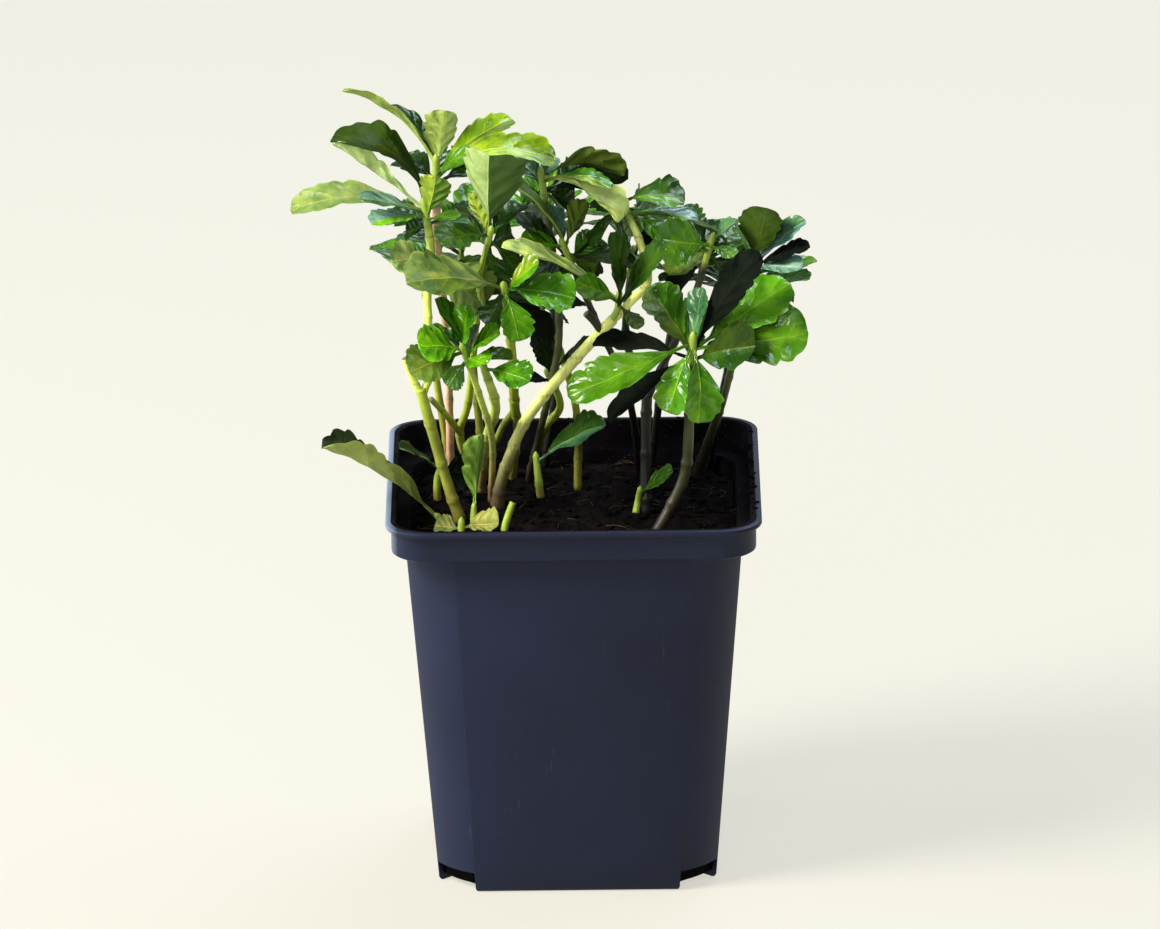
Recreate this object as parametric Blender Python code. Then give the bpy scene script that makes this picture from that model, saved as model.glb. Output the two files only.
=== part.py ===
"""Potted Japanese pachysandra in a square nursery pot, as separate solids.

The origin is the middle of the pot's flat underside, +Z is up, +X is to the viewer's right and
-Y is toward the viewer. The sizes below are in millimetres and degrees. Each shoot of the plant
is a stem that stands on the soil, boughs that leave it, and a mass of leaves at each tip.
"""

from collections import namedtuple
from math import cos, pi, radians, sin, sqrt
import random

import bmesh
import bpy
from mathutils import Matrix, Vector
from mathutils.bvhtree import BVHTree

MM = 0.001
GAP = 0.3  # clear space between solids that meet

# Pot
RIM_WIDTH = 90.0
FOOT_WIDTH = 67.0
POT_HEIGHT = 95.0
POT_WALL = 1.2
POT_FLOOR = 1.5
LIP_HEIGHT = 1.4
LIP_OVERHANG = 1.4
BAND_HEIGHT = 7.6
SOFT_EDGE = 0.3
BODY_TOP_WIDTH = 80.8
BODY_TOP_CORNER = 12.2
FOOT_CORNER = 9.3
RIM_CORNER = 9.0
FOOT_EDGE = 0.8
BODY_ROUNDNESS = 0.15
RIM_ROUNDNESS = 0.95
CORNER_STEPS = 4
NOTCH_HEIGHT = 5.0
NOTCH_DEPTH = 4.0
NOTCH_WIDTH = 12.4

# Soil
SOIL_TOP = 86.0

# Limbs
LIMB_SIDES = 7
LIMB_RING_SPACING = 11.0
CURVE_STEP = 0.25
SHOOT = 6.0  # length of the stem tip that belongs to its leaves
BUD_LENGTH = 2.0  # over the shoot's radius
BUD_TIP = 0.3

# Leaves
SLIVER = 0.01  # edges shorter than this are closed up where leaves join
LEAF_THICKNESS = 0.7
STALK_THICKNESS = 1.0
STALK_SHARE = 0.15
STALK_WIDTH = 1.1
TIP_WIDTH = 0.6
TIP_SHARE = 0.9
BASE_POWER = 1.15  # a larger power gives a narrower wedge at the blade's base
TIP_POWER = 0.5  # a smaller power gives a blunter tip
LEAF_STATIONS = (0.0, 0.22, 0.45, 0.7, 0.91, 1.0)
ROOT_TOP = 1.0  # no leaf's root is nearer than this to the shoot's tip
ROOT_STEP = 0.5  # each leaf's root is this much lower on the shoot than the last
ROOT_SLIPS = (0, 2, -2)  # how far along the shoot a leaf's root is tried, in turn
NUDGES = (0, 3, -3, 6, -6)  # how far back or forward a leaf's tip is tried, in turn

# Spare leaves, low ones and then high ones round each shoot
GOLDEN_ANGLE = 137.5
LOW_SPARES = 6
LOW_RISE = (-5, 30)
LOW_REACH = (18, 24)
HIGH_RISE = (40, 65)
HIGH_REACH = (11, 15)
SPARE_WIDTH = (0.42, 0.5)  # over its reach
SPARE_ARCH = (20, 50)
SPARE_ROLL = (-15, 15)
SPARE_FOLD = 14

# Finish
ROUGHNESS = {"pot": 0.5, "soil": 0.95, "stem": 0.5, "leaves": 0.35}
SHARP_ANGLE = 40

Limb = namedtuple("Limb", "host points")
Leaf = namedtuple("Leaf", "tip width arch roll fold")
Mass = namedtuple("Mass", "limb leaves spare around shoot", defaults=(0, (0, 360), SHOOT))

FOOT = SOIL_TOP + GAP

# Each limb's points are x, y, z and radius, from its foot or its host's middle line to its tip.
LIMBS = {
    "stem_left_front": Limb(None, ((-27.5, -6.5, FOOT, 1.5), (-30.5, -7, 96, 1.3), (-36.5, -9, 120, 1.3))),
    "bough_left_front": Limb(
        "stem_left_front",
        (
            (-36, -9, 118, 0.9),
            (-34, -7, 125, 0.9),
            (-34.5, -5, 141, 1.0),
            (-33.5, -4, 153, 1.0),
            (-35, -4, 165, 0.9),
        ),
    ),
    "stub_left_front": Limb(
        "stem_left_front",
        ((-36, -9, 118, 0.9), (-38, -9, 122, 0.9), (-40, -10, 128, 0.9)),
    ),
    "stem_left_back": Limb(
        None,
        (
            (-30, 28, FOOT, 1.0),
            (-30, 15, 117, 0.9),
            (-31, 6, 138, 1.0),
            (-32, 0, 153, 1.1),
            (-32, -2, 175, 0.9),
        ),
    ),
    "stem_left_middle": Limb(
        None,
        (
            (-24, 24, FOOT, 1.0),
            (-27.5, 16, 100, 1.0),
            (-25, 9, 112, 0.9),
            (-22, -6, 144, 0.9),
            (-19, -14, 161, 0.8),
        ),
    ),
    "bough_cross_left": Limb(
        "stem_left_middle",
        ((-27.5, 15, 101, 0.8), (-30.5, 4, 109, 0.8), (-34, -5, 116, 0.7)),
    ),
    "stem_slim_front": Limb(
        None,
        ((-20, 9, FOOT, 0.8), (-19.5, -1, 104, 0.8), (-22, -14, 119, 0.8), (-26, -24, 135, 0.8)),
    ),
    "stem_yellow_front": Limb(
        None,
        ((-22.5, 17, FOOT, 1.1), (-21, 6, 102, 1.1), (-18.5, -8, 115, 1.2), (-21, -24, 130, 0.9)),
    ),
    "stem_middle": Limb(
        None,
        (
            (-15, 26, FOOT, 1.1),
            (-13.5, 18, 101, 1.0),
            (-14, 8, 110, 1.2),
            (-14.5, -6, 129, 1.1),
            (-16, -20, 149, 0.9),
        ),
    ),
    "bough_middle_side": Limb(
        "stem_middle",
        ((-14, 10, 108.5, 0.8), (-17, 17, 102, 0.8), (-19, 22, 96, 0.8)),
    ),
    "stem_diagonal": Limb(
        None,
        (
            (-18.5, 3, FOOT, 1.7),
            (-16.5, 1, 96, 1.4),
            (-10.5, -3, 111, 1.3),
            (2, -5, 127, 1.3),
            (10, -6, 136, 1.3),
        ),
    ),
    "stub_diagonal": Limb(
        "stem_diagonal",
        ((7, -6, 133, 0.9), (5.5, -6.5, 135.5, 0.9), (3.5, -7, 138, 0.9)),
    ),
    "bough_diagonal": Limb(
        "stem_diagonal",
        ((9, -6, 135, 1.0), (14.5, -4, 140, 1.0), (18.5, 0, 144, 1.0), (16.5, 3, 153, 0.9), (12, 6, 163, 0.8)),
    ),
    "stalk_fork": Limb("stem_diagonal", ((9, -6, 135, 0.8), (11, -6.5, 138.5, 0.8), (11.5, -6, 142, 0.8))),
    "stem_slim_middle": Limb(
        None,
        ((-11, 24, FOOT, 0.8), (-4.5, 8, 118, 0.9), (-3, 6, 132, 0.9), (-4.5, 5, 150, 0.9), (-7, 4, 170, 0.8)),
    ),
    "stem_short_middle": Limb(
        None,
        ((-10.5, 30, FOOT, 1.0), (-7, 20, 100, 1.0), (-3, 14, 108, 0.9), (-6, 12, 117, 0.8)),
    ),
    "stem_slim_right": Limb(
        None,
        ((16, 28, FOOT, 0.9), (15, 18, 101, 0.9), (12.5, 8, 116, 0.8), (7, 4, 130, 0.8), (-2, -5, 155, 0.8)),
    ),
    "stem_right_fork": Limb(None, ((17.5, -3, FOOT, 1.7), (17.5, 0, 101, 1.2), (18, 2, 114, 1.3))),
    "bough_right_front": Limb(
        "stem_right_fork",
        ((18, 2, 113, 0.9), (21.5, 2, 121, 0.9), (28.5, 4, 135, 0.9), (34, 4, 153, 0.8)),
    ),
    "bough_right_back": Limb(
        "stem_right_fork",
        ((18, 2, 112, 0.9), (15, 8, 120, 0.9), (13, 16, 126, 0.9), (15, 27, 143, 0.8)),
    ),
    "stem_right_front": Limb(
        None,
        (
            (20, -18, FOOT, 1.4),
            (23.5, -17, 92.5, 1.3),
            (27, -17, 101, 1.3),
            (28, -19, 115, 1.2),
            (29, -22, 136, 1.0),
        ),
    ),
    "stem_far_right": Limb(
        None,
        ((30, 26, FOOT, 1.3), (34, 16, 101, 1.1), (37, 8, 113, 0.9), (40.5, 4, 130, 0.9), (44, 3, 148, 0.8)),
    ),
    "stub_cut_front": Limb(None, ((-17, -20, FOOT, 0.9), (-16, -19, 90, 0.9), (-14.5, -18, 94, 0.8))),
    "twig_left_low": Limb(
        "bough_left_front",
        ((-33.5, -4, 151, 0.8), (-33.5, -8, 152, 0.8), (-34, -12, 153, 0.8)),
    ),
    "stem_back_left": Limb(None, ((-22, 33, FOOT, 1.0), (-24, 29, 112, 0.9), (-27, 24, 147, 0.8))),
    "stem_back_middle": Limb(None, ((-7, 35, FOOT, 1.0), (-4, 30, 112, 0.9), (-6, 27, 151, 0.8))),
    "stem_back_right": Limb(None, ((19, 34, FOOT, 1.0), (22, 30, 110, 0.9), (27, 26, 139, 0.8))),
    "stem_back_far_right": Limb(None, ((33, 33, FOOT, 1.0), (37, 30, 108, 0.9), (42, 25, 133, 0.8))),
    "stem_back_far_left": Limb(None, ((-30, 33, FOOT, 1.0), (-33, 27, 110, 0.9), (-36, 20, 140, 0.8))),
    "stalk_old_leaf": Limb(None, ((-32, -11, FOOT, 1.0), (-32, -11, 87.3, 0.9), (-32.6, -11.6, 88.3, 0.8))),
    "stalk_upright_leaf": Limb(None, ((-24, -10, FOOT, 1.0), (-24, -10, 88, 0.9), (-24, -10, 90, 0.7))),
    "stalk_dry_leaves": Limb(None, ((-27, -17, FOOT, 0.9), (-27, -17, 87.5, 0.9), (-27, -17, 88.5, 0.8))),
    "stalk_low_right_leaf": Limb(None, ((-8, 9, FOOT, 1.0), (-8.5, 9, 91, 0.9), (-9, 10, 96, 0.8))),
    "stalk_low_left_leaves": Limb(None, ((-33, 8, FOOT, 1.0), (-33, 7, 91, 0.9), (-32, 6, 96, 0.8))),
    "stalk_seedling": Limb(None, ((15, -4, FOOT, 0.9), (15.5, -3, 89, 0.8), (16, -4, 92, 0.7))),
    "stem_inner_left": Limb(
        None,
        ((1, 18, FOOT, 1.0), (1, 16, 105, 0.9), (-3, 14, 122, 0.9), (-9, 11, 137, 0.8)),
    ),
}

# Each leaf's tip is right, back and up from the tip of the limb that carries its mass.
MASSES = {
    "leaves_top_left": Mass(
        "stem_left_back",
        (
            Leaf((-22, -3, 18.5), 8, 55, 19, 20),
            Leaf((-10.5, 7, 12), 9, 45, 16, 14),
            Leaf((3, 3, 11.5), 12, 15, -101, 24),
            Leaf((18.5, 8, 7.5), 11, 45, 12, 14),
            Leaf((28.5, -3, 0), 13, 85, 20, 18),
            Leaf((8.5, -7, 4), 7, 40, 42, 14),
            Leaf((-2.5, 14, 4), 10, 30, 42, 14),
            Leaf((10.5, 15, -2), 10, 30, 8, 14),
            Leaf((-9, 13, -3.5), 10, 30, -19, 14),
            Leaf((15, 8, -3.5), 9, 30, 30, 14),
        ),
        around=(60, 150),
    ),
    "leaves_far_left": Mass(
        "bough_left_front",
        (
            Leaf((-22, 2, 15.5), 16, 105, -12, 14),
            Leaf((-21.5, -3, 16), 9, 15, 32, 24),
            Leaf((-32, 0, -1.5), 12, 60, -19, 14),
            Leaf((-15, -8, 3.5), 8, 20, -17, 14),
            Leaf((-12.5, -10, -2), 9, 25, -10, 14),
            Leaf((3, -5, 8), 9, 10, -37, 14),
            Leaf((8, -9, -1.5), 9, 30, 10, 14),
            Leaf((-8.5, 8, -4.5), 9, 30, -12, 14),
            Leaf((14.5, 6, -4.5), 9, 20, 29, 14),
            Leaf((-4.5, 2, -8), 8, 20, -31, 14),
            Leaf((-8, 14, -7), 9, 30, -45, 14),
            Leaf((5, 14, -1), 9, 30, 10, 14),
        ),
        around=(100, 150),
    ),
    "leaves_left_low": Mass(
        "twig_left_low",
        (
            Leaf((13, -4, -10.5), 18, 15, -83, 20),
            Leaf((-9, -8, 2), 11, 30, -55, 20),
            Leaf((-13, 4, 1.5), 7, 10, 12, 14),
            Leaf((2, -9, -5), 8, 20, -4, 14),
        ),
        shoot=20,
    ),
    "leaves_left_middle": Mass(
        "stem_left_middle",
        (
            Leaf((0, -8, 21), 19, 18, -20, 30),
            Leaf((-12, -8, -1), 13, 25, -16, 14),
            Leaf((7.5, 8, 4), 11, 30, -2, 14),
            Leaf((-5, 4, 8.5), 9, 20, 72, 14),
            Leaf((7.5, 2, -14), 9, 30, 37, 14),
            Leaf((-1.5, -4, -16.5), 7, 25, 82, 25),
            Leaf((2, 5, -16.5), 9, 20, 102, 14),
            Leaf((-8.5, 4, 5.5), 8, 30, -2, 14),
            Leaf((-7.5, 14, -3), 10, 30, -21, 14),
            Leaf((4.5, 13, -4.5), 10, 30, 70, 14),
        ),
        around=(30, 150),
    ),
    "leaves_front_middle": Mass(
        "stem_middle",
        (
            Leaf((17, -3, -2.5), 13, 25, 36, 14),
            Leaf((3.5, -6, -12), 10, 20, -2, 14),
            Leaf((-4, 2, -10.5), 9, 20, -60, 14),
            Leaf((8.5, -4, 7), 9, 20, 44, 14),
            Leaf((-23, -3, 3.5), 19, 35, -20, 14),
            Leaf((11, 6, -14.5), 9, 20, 46, 14),
        ),
        around=(60, 170),
    ),
    "leaves_top_middle": Mass(
        "stem_slim_middle",
        (
            Leaf((18.5, -6, -11), 17, 70, -1, 24),
            Leaf((20, 5, -2.5), 14, 80, -38, 14),
            Leaf((21, 14, -6), 10, 20, -60, 14),
            Leaf((17, -8, -2), 7, 70, 10, 14),
            Leaf((3.5, 4, 2.5), 7, 20, -7, 14),
            Leaf((-7, 8, 1.5), 9, 20, -20, 14),
            Leaf((8, 6, -10), 10, 30, 53, 14),
            Leaf((10.5, 16, -5), 11, 30, 38, 14),
            Leaf((-5, 14, -6.5), 10, 30, -103, 14),
            Leaf((5.5, 18, -12.5), 10, 30, 95, 14),
        ),
        around=(80, 200),
    ),
    "leaves_top_right": Mass(
        "bough_diagonal",
        (
            Leaf((15.5, -2, -0.5), 13, 60, 20, 14),
            Leaf((2.5, -3, -10), 7, 20, -35, 14),
            Leaf((-5.5, -8, -10), 11, 35, 34, 24),
            Leaf((7, 6, -18), 10, 20, 66, 14),
            Leaf((9.5, 10, -7.5), 9, 20, 54, 14),
            Leaf((12.5, -7, -11.5), 12, 25, 5, 14),
            Leaf((18.5, -5, -5), 10, 35, -1, 14),
            Leaf((27, 0, -14.5), 6, 60, -4, 14),
            Leaf((-5, 12, -2.5), 10, 30, -29, 14),
            Leaf((5, 14, -5), 10, 30, 67, 14),
            Leaf((10.5, 8, -12), 10, 30, 52, 14),
        ),
        around=(30, 200),
    ),
    "leaves_right_high": Mass(
        "bough_right_front",
        (
            Leaf((5.5, 5, 4), 8, 20, 11, 14),
            Leaf((-14, -9, 4.5), 13, 15, -78, 14),
            Leaf((5.5, -6, -3), 5, 10, 17, 14),
            Leaf((-10.5, -12, -5.5), 9, 15, -7, 14),
            Leaf((-10.5, 6, -17.5), 10, 20, -50, 14),
            Leaf((5.5, 6, -15), 10, 20, 75, 14),
            Leaf((-7.5, 10, 3), 10, 20, -14, 14),
            Leaf((-3, 14, 0), 10, 30, 3, 14),
            Leaf((7, 15, -3), 10, 30, 23, 14),
            Leaf((-3, 16, -11), 10, 30, -128, 14),
        ),
        around=(60, 170),
    ),
    "leaves_far_right": Mass(
        "stem_far_right",
        (
            Leaf((3.5, 4, 11.5), 15, 15, 2, 14),
            Leaf((12.5, 2, 9), 10, 15, 17, 14),
            Leaf((13.5, -2, 3.5), 8, 20, 12, 14),
            Leaf((11.5, -6, -0.5), 9, 20, 20, 14),
            Leaf((9.5, 3, -11.5), 7, 20, 34, 14),
            Leaf((-3.5, 12, 5), 10, 30, 41, 14),
            Leaf((5.5, 16, 1), 10, 30, -11, 14),
            Leaf((11.5, 12, -4.5), 10, 30, 16, 14),
            Leaf((-4.5, -4, -2.5), 10, 20, -16, 14),
            Leaf((4, 6, -9.5), 10, 20, 100, 14),
        ),
        around=(40, 170),
    ),
    "leaves_front_right": Mass(
        "stem_right_front",
        (
            Leaf((-30, -4, -13), 13, 20, -34, 14),
            Leaf((-5.5, -4, -17.5), 11, 35, -16, 14),
            Leaf((1, -7, -19), 12, 35, -27, 14),
            Leaf((27.5, -2, 1.5), 18, 15, 44, 14),
            Leaf((23.5, 6, 11.5), 14, 15, 36, 6),
            Leaf((16, -2, 22), 10.5, 10, 59, 8),
            Leaf((-11, 2, 12), 14, 20, -34, 14),
            Leaf((2.5, 4, 11.5), 9, 20, -15, 14),
            Leaf((-24, 6, -3), 12, 20, -8, 14),
            Leaf((15, -8, 0.5), 15, 20, 45, 14),
            Leaf((-20.5, 6, -22), 10, 20, -32, 14),
            Leaf((6.5, 12, 6), 11, 30, -31, 14),
            Leaf((-3, 13, 1), 11, 30, 17, 14),
            Leaf((13.5, 10, -6), 11, 30, 15, 14),
        ),
    ),
    "leaves_front_low": Mass(
        "stem_slim_front",
        (
            Leaf((-10.5, -5, 1.5), 13, 25, -35, 14),
            Leaf((-12.5, -6, -4.5), 13, 15, -37, 14),
            Leaf((2, 2, 10), 11, 20, 2, 14),
            Leaf((-6.5, 4, 11), 9, 20, -1, 14),
            Leaf((9, -2, 4), 10, 25, 27, 14),
            Leaf((5.5, -6, -2.5), 8, 20, 21, 14),
            Leaf((12, 2, -3), 7, 20, 15, 14),
            Leaf((-3.5, 2, -10.5), 7, 20, -64, 14),
            Leaf((-8, 8, 3), 9, 30, 14, 14),
            Leaf((4, 9, 4), 9, 30, -33, 14),
        ),
    ),
    "leaves_front_small": Mass(
        "stem_yellow_front",
        (
            Leaf((11, -4, -1.5), 10, 25, 30, 14),
        ),
        spare=1,
        around=(20, 160),
    ),
    "leaves_fork": Mass(
        "stalk_fork",
        (
            Leaf((-28, -13, 15.5), 9.5, 28, -14, 20),
            Leaf((-10.5, -15, 7), 7, 10, -80, 14),
            Leaf((4.5, -5, -7), 7, 10, -2, 14),
            Leaf((11.5, -8, 15.5), 8, 20, 62, 14),
            Leaf((-2, -9, 18.5), 8, 25, -117, 14),
        ),
        shoot=20,
    ),
    "leaves_inner": Mass(
        "stem_slim_right",
        (
            Leaf((-10, -1, 0.5), 10, 20, -27, 14),
            Leaf((6.5, 8, 7.5), 10, 15, -82, 14),
            Leaf((-4, 8, 7.5), 10, 15, 28, 14),
            Leaf((7, 2, -9.5), 10, 25, 34, 14),
            Leaf((21, 6, 1.5), 10, 30, -32, 26),
            Leaf((-8, 8, -11.5), 9, 20, -78, 14),
            Leaf((9, 8, -7.5), 10, 20, 63, 14),
            Leaf((18, 4, -7), 9, 20, 18, 14),
            Leaf((-11.5, 5, 5.5), 10, 20, -4, 14),
            Leaf((9, 10, -2), 9, 20, 31, 14),
            Leaf((6.5, 11, -7), 9, 20, 96, 14),
            Leaf((-19, -5, 19.5), 8, 55, -16, 14),
        ),
    ),
    "leaves_back_left": Mass("stem_back_left", (), spare=9),
    "leaves_back_middle": Mass("stem_back_middle", (), spare=10),
    "leaves_back_right": Mass("stem_back_right", (), spare=10),
    "leaves_back_far_right": Mass("stem_back_far_right", (), spare=8),
    "leaves_back_far_left": Mass("stem_back_far_left", (), spare=8, around=(-10, 130)),
    "leaves_back_inner": Mass("bough_right_back", (), spare=8),
    "leaf_old": Mass(
        "stalk_old_leaf",
        (
            Leaf((-27.5, -13, 22), 17, 25, 0, 38),
        ),
        shoot=20,
    ),
    "leaf_upright": Mass(
        "stalk_upright_leaf",
        (
            Leaf((2, 2, 18), 10, 10, -88, 30),
        ),
        shoot=20,
    ),
    "leaves_dry": Mass(
        "stalk_dry_leaves",
        (
            Leaf((9, -1, 0), 13, 12, 12, 14),
            Leaf((-6.5, 1, -1), 9, 12, -14, 14),
        ),
        shoot=20,
    ),
    "leaf_low_right": Mass(
        "stalk_low_right_leaf",
        (
            Leaf((17, 4, 9), 14, 25, 15, 14),
        ),
        shoot=20,
    ),
    "leaves_low_left": Mass(
        "stalk_low_left_leaves",
        (
            Leaf((-10, -4, 5.5), 10, 15, -5, 14),
            Leaf((6, 4, -4), 10, 15, 60, 14),
        ),
        shoot=20,
    ),
    "seedling": Mass(
        "stalk_seedling",
        (
            Leaf((8, -4, 6), 8, 15, 30, 14),
        ),
        shoot=20,
    ),
    "leaves_middle_low": Mass(
        "stem_short_middle",
        (
            Leaf((10.5, 2, 9.5), 8, 20, 10, 14),
            Leaf((-3, -3, 12), 11, 20, -83, 14),
            Leaf((9, 4, 4), 7, 20, 5, 14),
            Leaf((-5.5, -4, -0.5), 7, 20, -12, 14),
        ),
    ),
    "leaves_inner_left": Mass(
        "stem_inner_left",
        (
            Leaf((-6.5, -2, 9), 10, 25, -35, 14),
            Leaf((10, 2, 6), 10, 25, 9, 14),
            Leaf((7.5, -3, -8), 9, 20, 9, 14),
            Leaf((-7, -4, -5.5), 10, 20, -6, 14),
            Leaf((1.5, 4, 14.5), 10, 25, -40, 14),
            Leaf((-8.5, 9, -2.5), 9, 25, -22, 14),
            Leaf((11, 10, -4.5), 9, 25, 25, 14),
            Leaf((2.5, 16, 1.5), 10, 30, -24, 14),
            Leaf((-3.5, 14, -8), 9, 30, -119, 14),
        ),
    ),
}

COLOURS = {
    "pot": (0.021, 0.024, 0.040),
    "soil": (0.012, 0.009, 0.007),
    "stem": (0.210, 0.190, 0.055),
    "leaves": (0.060, 0.190, 0.030),
}


# Building blocks


def clear_scene():
    for obj in list(bpy.data.objects):
        bpy.data.objects.remove(obj, do_unlink=True)


def material(name, kind):
    made = bpy.data.materials.new(name)
    made.use_nodes = True
    shader = made.node_tree.nodes["Principled BSDF"]
    shader.inputs["Base Color"].default_value = (*COLOURS[kind], 1.0)
    shader.inputs["Roughness"].default_value = ROUGHNESS[kind]
    shader.inputs["Metallic"].default_value = 0.0
    return made


def add_object(name, mesh, kind):
    mesh.name = name
    mesh.materials.clear()
    mesh.materials.append(material(name, kind))
    obj = bpy.data.objects.new(name, mesh)
    bpy.context.collection.objects.link(obj)
    return obj


def swept(rings):
    """Closed solid: a face on the first ring, extruded from each ring of points to the next."""
    bm = bmesh.new()
    first = [bm.verts.new(point * MM) for point in rings[0]]
    cap = bm.faces.new(first)
    for ring in rings[1:]:
        cap = bmesh.ops.extrude_discrete_faces(bm, faces=[cap])["faces"][0]
        for vert, point in zip(cap.verts, ring):
            vert.co = point * MM
    bm.faces.new(first[::-1])
    bmesh.ops.recalc_face_normals(bm, faces=bm.faces)
    return bm


def soften(mesh):
    mesh.shade_smooth()
    mesh.set_sharp_from_angle(angle=radians(SHARP_ANGLE))


def to_mesh(bm, name):
    mesh = bpy.data.meshes.new(name)
    bm.to_mesh(mesh)
    bm.free()
    return mesh


def tree_of(rings):
    bm = swept(rings)
    bmesh.ops.triangulate(bm, faces=bm.faces)
    tree = BVHTree.FromBMesh(bm)
    bm.free()
    return tree


# Pot and soil


def pot_ring(width, corner, roundness, height):
    """Outline of the pot at one height, its corners between a chamfer and a quarter circle."""
    half = width / 2
    points = []
    for quarter in range(4):
        turn = Matrix.Rotation(quarter * pi / 2, 3, "Z")
        for step in range(CORNER_STEPS + 1):
            share = step / CORNER_STEPS
            angle = share * pi / 2
            chamfer = Vector((half - corner * share, half - corner * (1 - share), height))
            arc = Vector((half - corner + corner * cos(angle), half - corner + corner * sin(angle), height))
            points.append(turn @ chamfer.lerp(arc, roundness))
    return points


def inset_corner(corner, inset):
    """Corner leg of an outline whose flats and chamfers are all moved in by the inset."""
    return corner - (2 - sqrt(2)) * inset


def body_ring(height, inset=0.0):
    """Outline of the tapered body, moved in from its outer face by the inset."""
    share = height / (POT_HEIGHT - BAND_HEIGHT)
    width = FOOT_WIDTH + (BODY_TOP_WIDTH - FOOT_WIDTH) * share
    corner = FOOT_CORNER + (BODY_TOP_CORNER - FOOT_CORNER) * share
    return pot_ring(width - 2 * inset, inset_corner(corner, inset), BODY_ROUNDNESS, height)


def band_ring(height, inset=0.0):
    """Outline of the straight band under the lip, or of the lip where the inset is negative."""
    width = RIM_WIDTH - 2 * LIP_OVERHANG - 2 * inset
    return pot_ring(width, inset_corner(RIM_CORNER, inset), RIM_ROUNDNESS, height)


def notch_cutters():
    """One block at each foot corner, as wide as the corner's flat."""
    half_foot = FOOT_WIDTH / 2
    corner_plane = (2 * half_foot - FOOT_CORNER) / sqrt(2)
    depth = 4 * NOTCH_DEPTH
    cutters = []
    for quarter in range(4):
        bm = bmesh.new()
        bmesh.ops.create_cube(bm, size=MM)
        bmesh.ops.scale(bm, vec=(depth, NOTCH_WIDTH, 2 * NOTCH_HEIGHT), verts=bm.verts)
        middle = corner_plane - NOTCH_DEPTH + depth / 2
        bmesh.ops.translate(bm, vec=(middle * MM, 0, 0), verts=bm.verts)
        cutter = bpy.data.objects.new(f"cut_notch_{quarter}", to_mesh(bm, f"cut_notch_{quarter}"))
        bpy.context.collection.objects.link(cutter)
        cutter.rotation_euler.z = radians(45 + 90 * quarter)
        cutter.hide_render = True
        cutter.display_type = "WIRE"
        cutters.append(cutter)
    return cutters


def pot_rings():
    """Rings up the outside, over the lip and down the inside to the floor."""
    band_bottom = POT_HEIGHT - BAND_HEIGHT
    lip_bottom = POT_HEIGHT - LIP_HEIGHT
    return [
        body_ring(0, FOOT_EDGE),
        body_ring(FOOT_EDGE),
        body_ring(band_bottom),
        band_ring(band_bottom + SOFT_EDGE),
        band_ring(lip_bottom),
        band_ring(lip_bottom + SOFT_EDGE, -LIP_OVERHANG),
        band_ring(POT_HEIGHT - SOFT_EDGE, -LIP_OVERHANG),
        band_ring(POT_HEIGHT, SOFT_EDGE - LIP_OVERHANG),
        band_ring(POT_HEIGHT, POT_WALL),
        band_ring(band_bottom + POT_WALL, POT_WALL),
        body_ring(band_bottom + POT_WALL - SOFT_EDGE, POT_WALL),
        body_ring(POT_FLOOR, POT_WALL),
    ]


def build_pot():
    pot = add_object("pot", to_mesh(swept(pot_rings()), "pot"), "pot")
    soften(pot.data)
    for cutter in notch_cutters():
        cut = pot.modifiers.new(cutter.name, "BOOLEAN")
        cut.operation = "DIFFERENCE"
        cut.solver = "EXACT"
        cut.object = cutter


def soil_rings():
    inset = POT_WALL + GAP
    return [body_ring(POT_FLOOR + GAP, inset), body_ring(SOIL_TOP, inset)]


def build_soil():
    add_object("soil", to_mesh(swept(soil_rings()), "soil"), "soil")


# Limbs


def limb_curve(points):
    """Smooth curve through a limb's points, as places and radii at even small steps."""
    knots = [Vector(point) for point in points]
    knots = [2 * knots[0] - knots[1], *knots, 2 * knots[-1] - knots[-2]]
    curve = [knots[1]]
    for a, b, c, d in zip(knots, knots[1:], knots[2:], knots[3:]):
        steps = max(2, round((c - b).length / CURVE_STEP))
        for step in range(1, steps + 1):
            t = step / steps
            even = 2 * b + (c - a) * t
            bend = (2 * a - 5 * b + 4 * c - d) * t**2 + (3 * b - a - 3 * c + d) * t**3
            curve.append((even + bend) / 2)
    return [(point.to_3d(), point.w) for point in curve]


def across(direction):
    """Two unit vectors square to a direction."""
    side = direction.cross(Vector((0, 1, 0))).normalized()
    return side, direction.cross(side).normalized()


def circle_points(middle, radius, direction, sides):
    side, other = across(direction)
    angles = [2 * pi * step / sides for step in range(sides)]
    return [middle + radius * (cos(a) * side + sin(a) * other) for a in angles]


def direction_at(curve, index):
    before = curve[max(0, index - 1)][0]
    after = curve[min(len(curve) - 1, index + 1)][0]
    return (after - before).normalized()


def limb_rings(curve, level_foot=False):
    """Rings along a limb, from its cut foot to its cut tip."""
    count = max(2, round(len(curve) * CURVE_STEP / LIMB_RING_SPACING) + 1)
    rings = []
    for step in range(count):
        index = round(step * (len(curve) - 1) / (count - 1))
        point, radius = curve[index]
        direction = Vector((0, 0, 1)) if level_foot and step == 0 else direction_at(curve, index)
        rings.append(circle_points(point, radius, direction, LIMB_SIDES))
    return rings


def clear_start(curve, near_trees):
    """First step of a branch whose cut end stands clear of its host and the host's other branches."""
    start = len(curve) - 2
    while start > 0:
        point, radius = curve[start - 1]
        rim = circle_points(point, radius, direction_at(curve, start - 1), 2 * LIMB_SIDES)
        nearest = min(tree.find_nearest(place * MM)[3] for tree in near_trees for place in rim)
        if nearest < GAP * MM:
            break
        start -= 1
    return start


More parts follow.
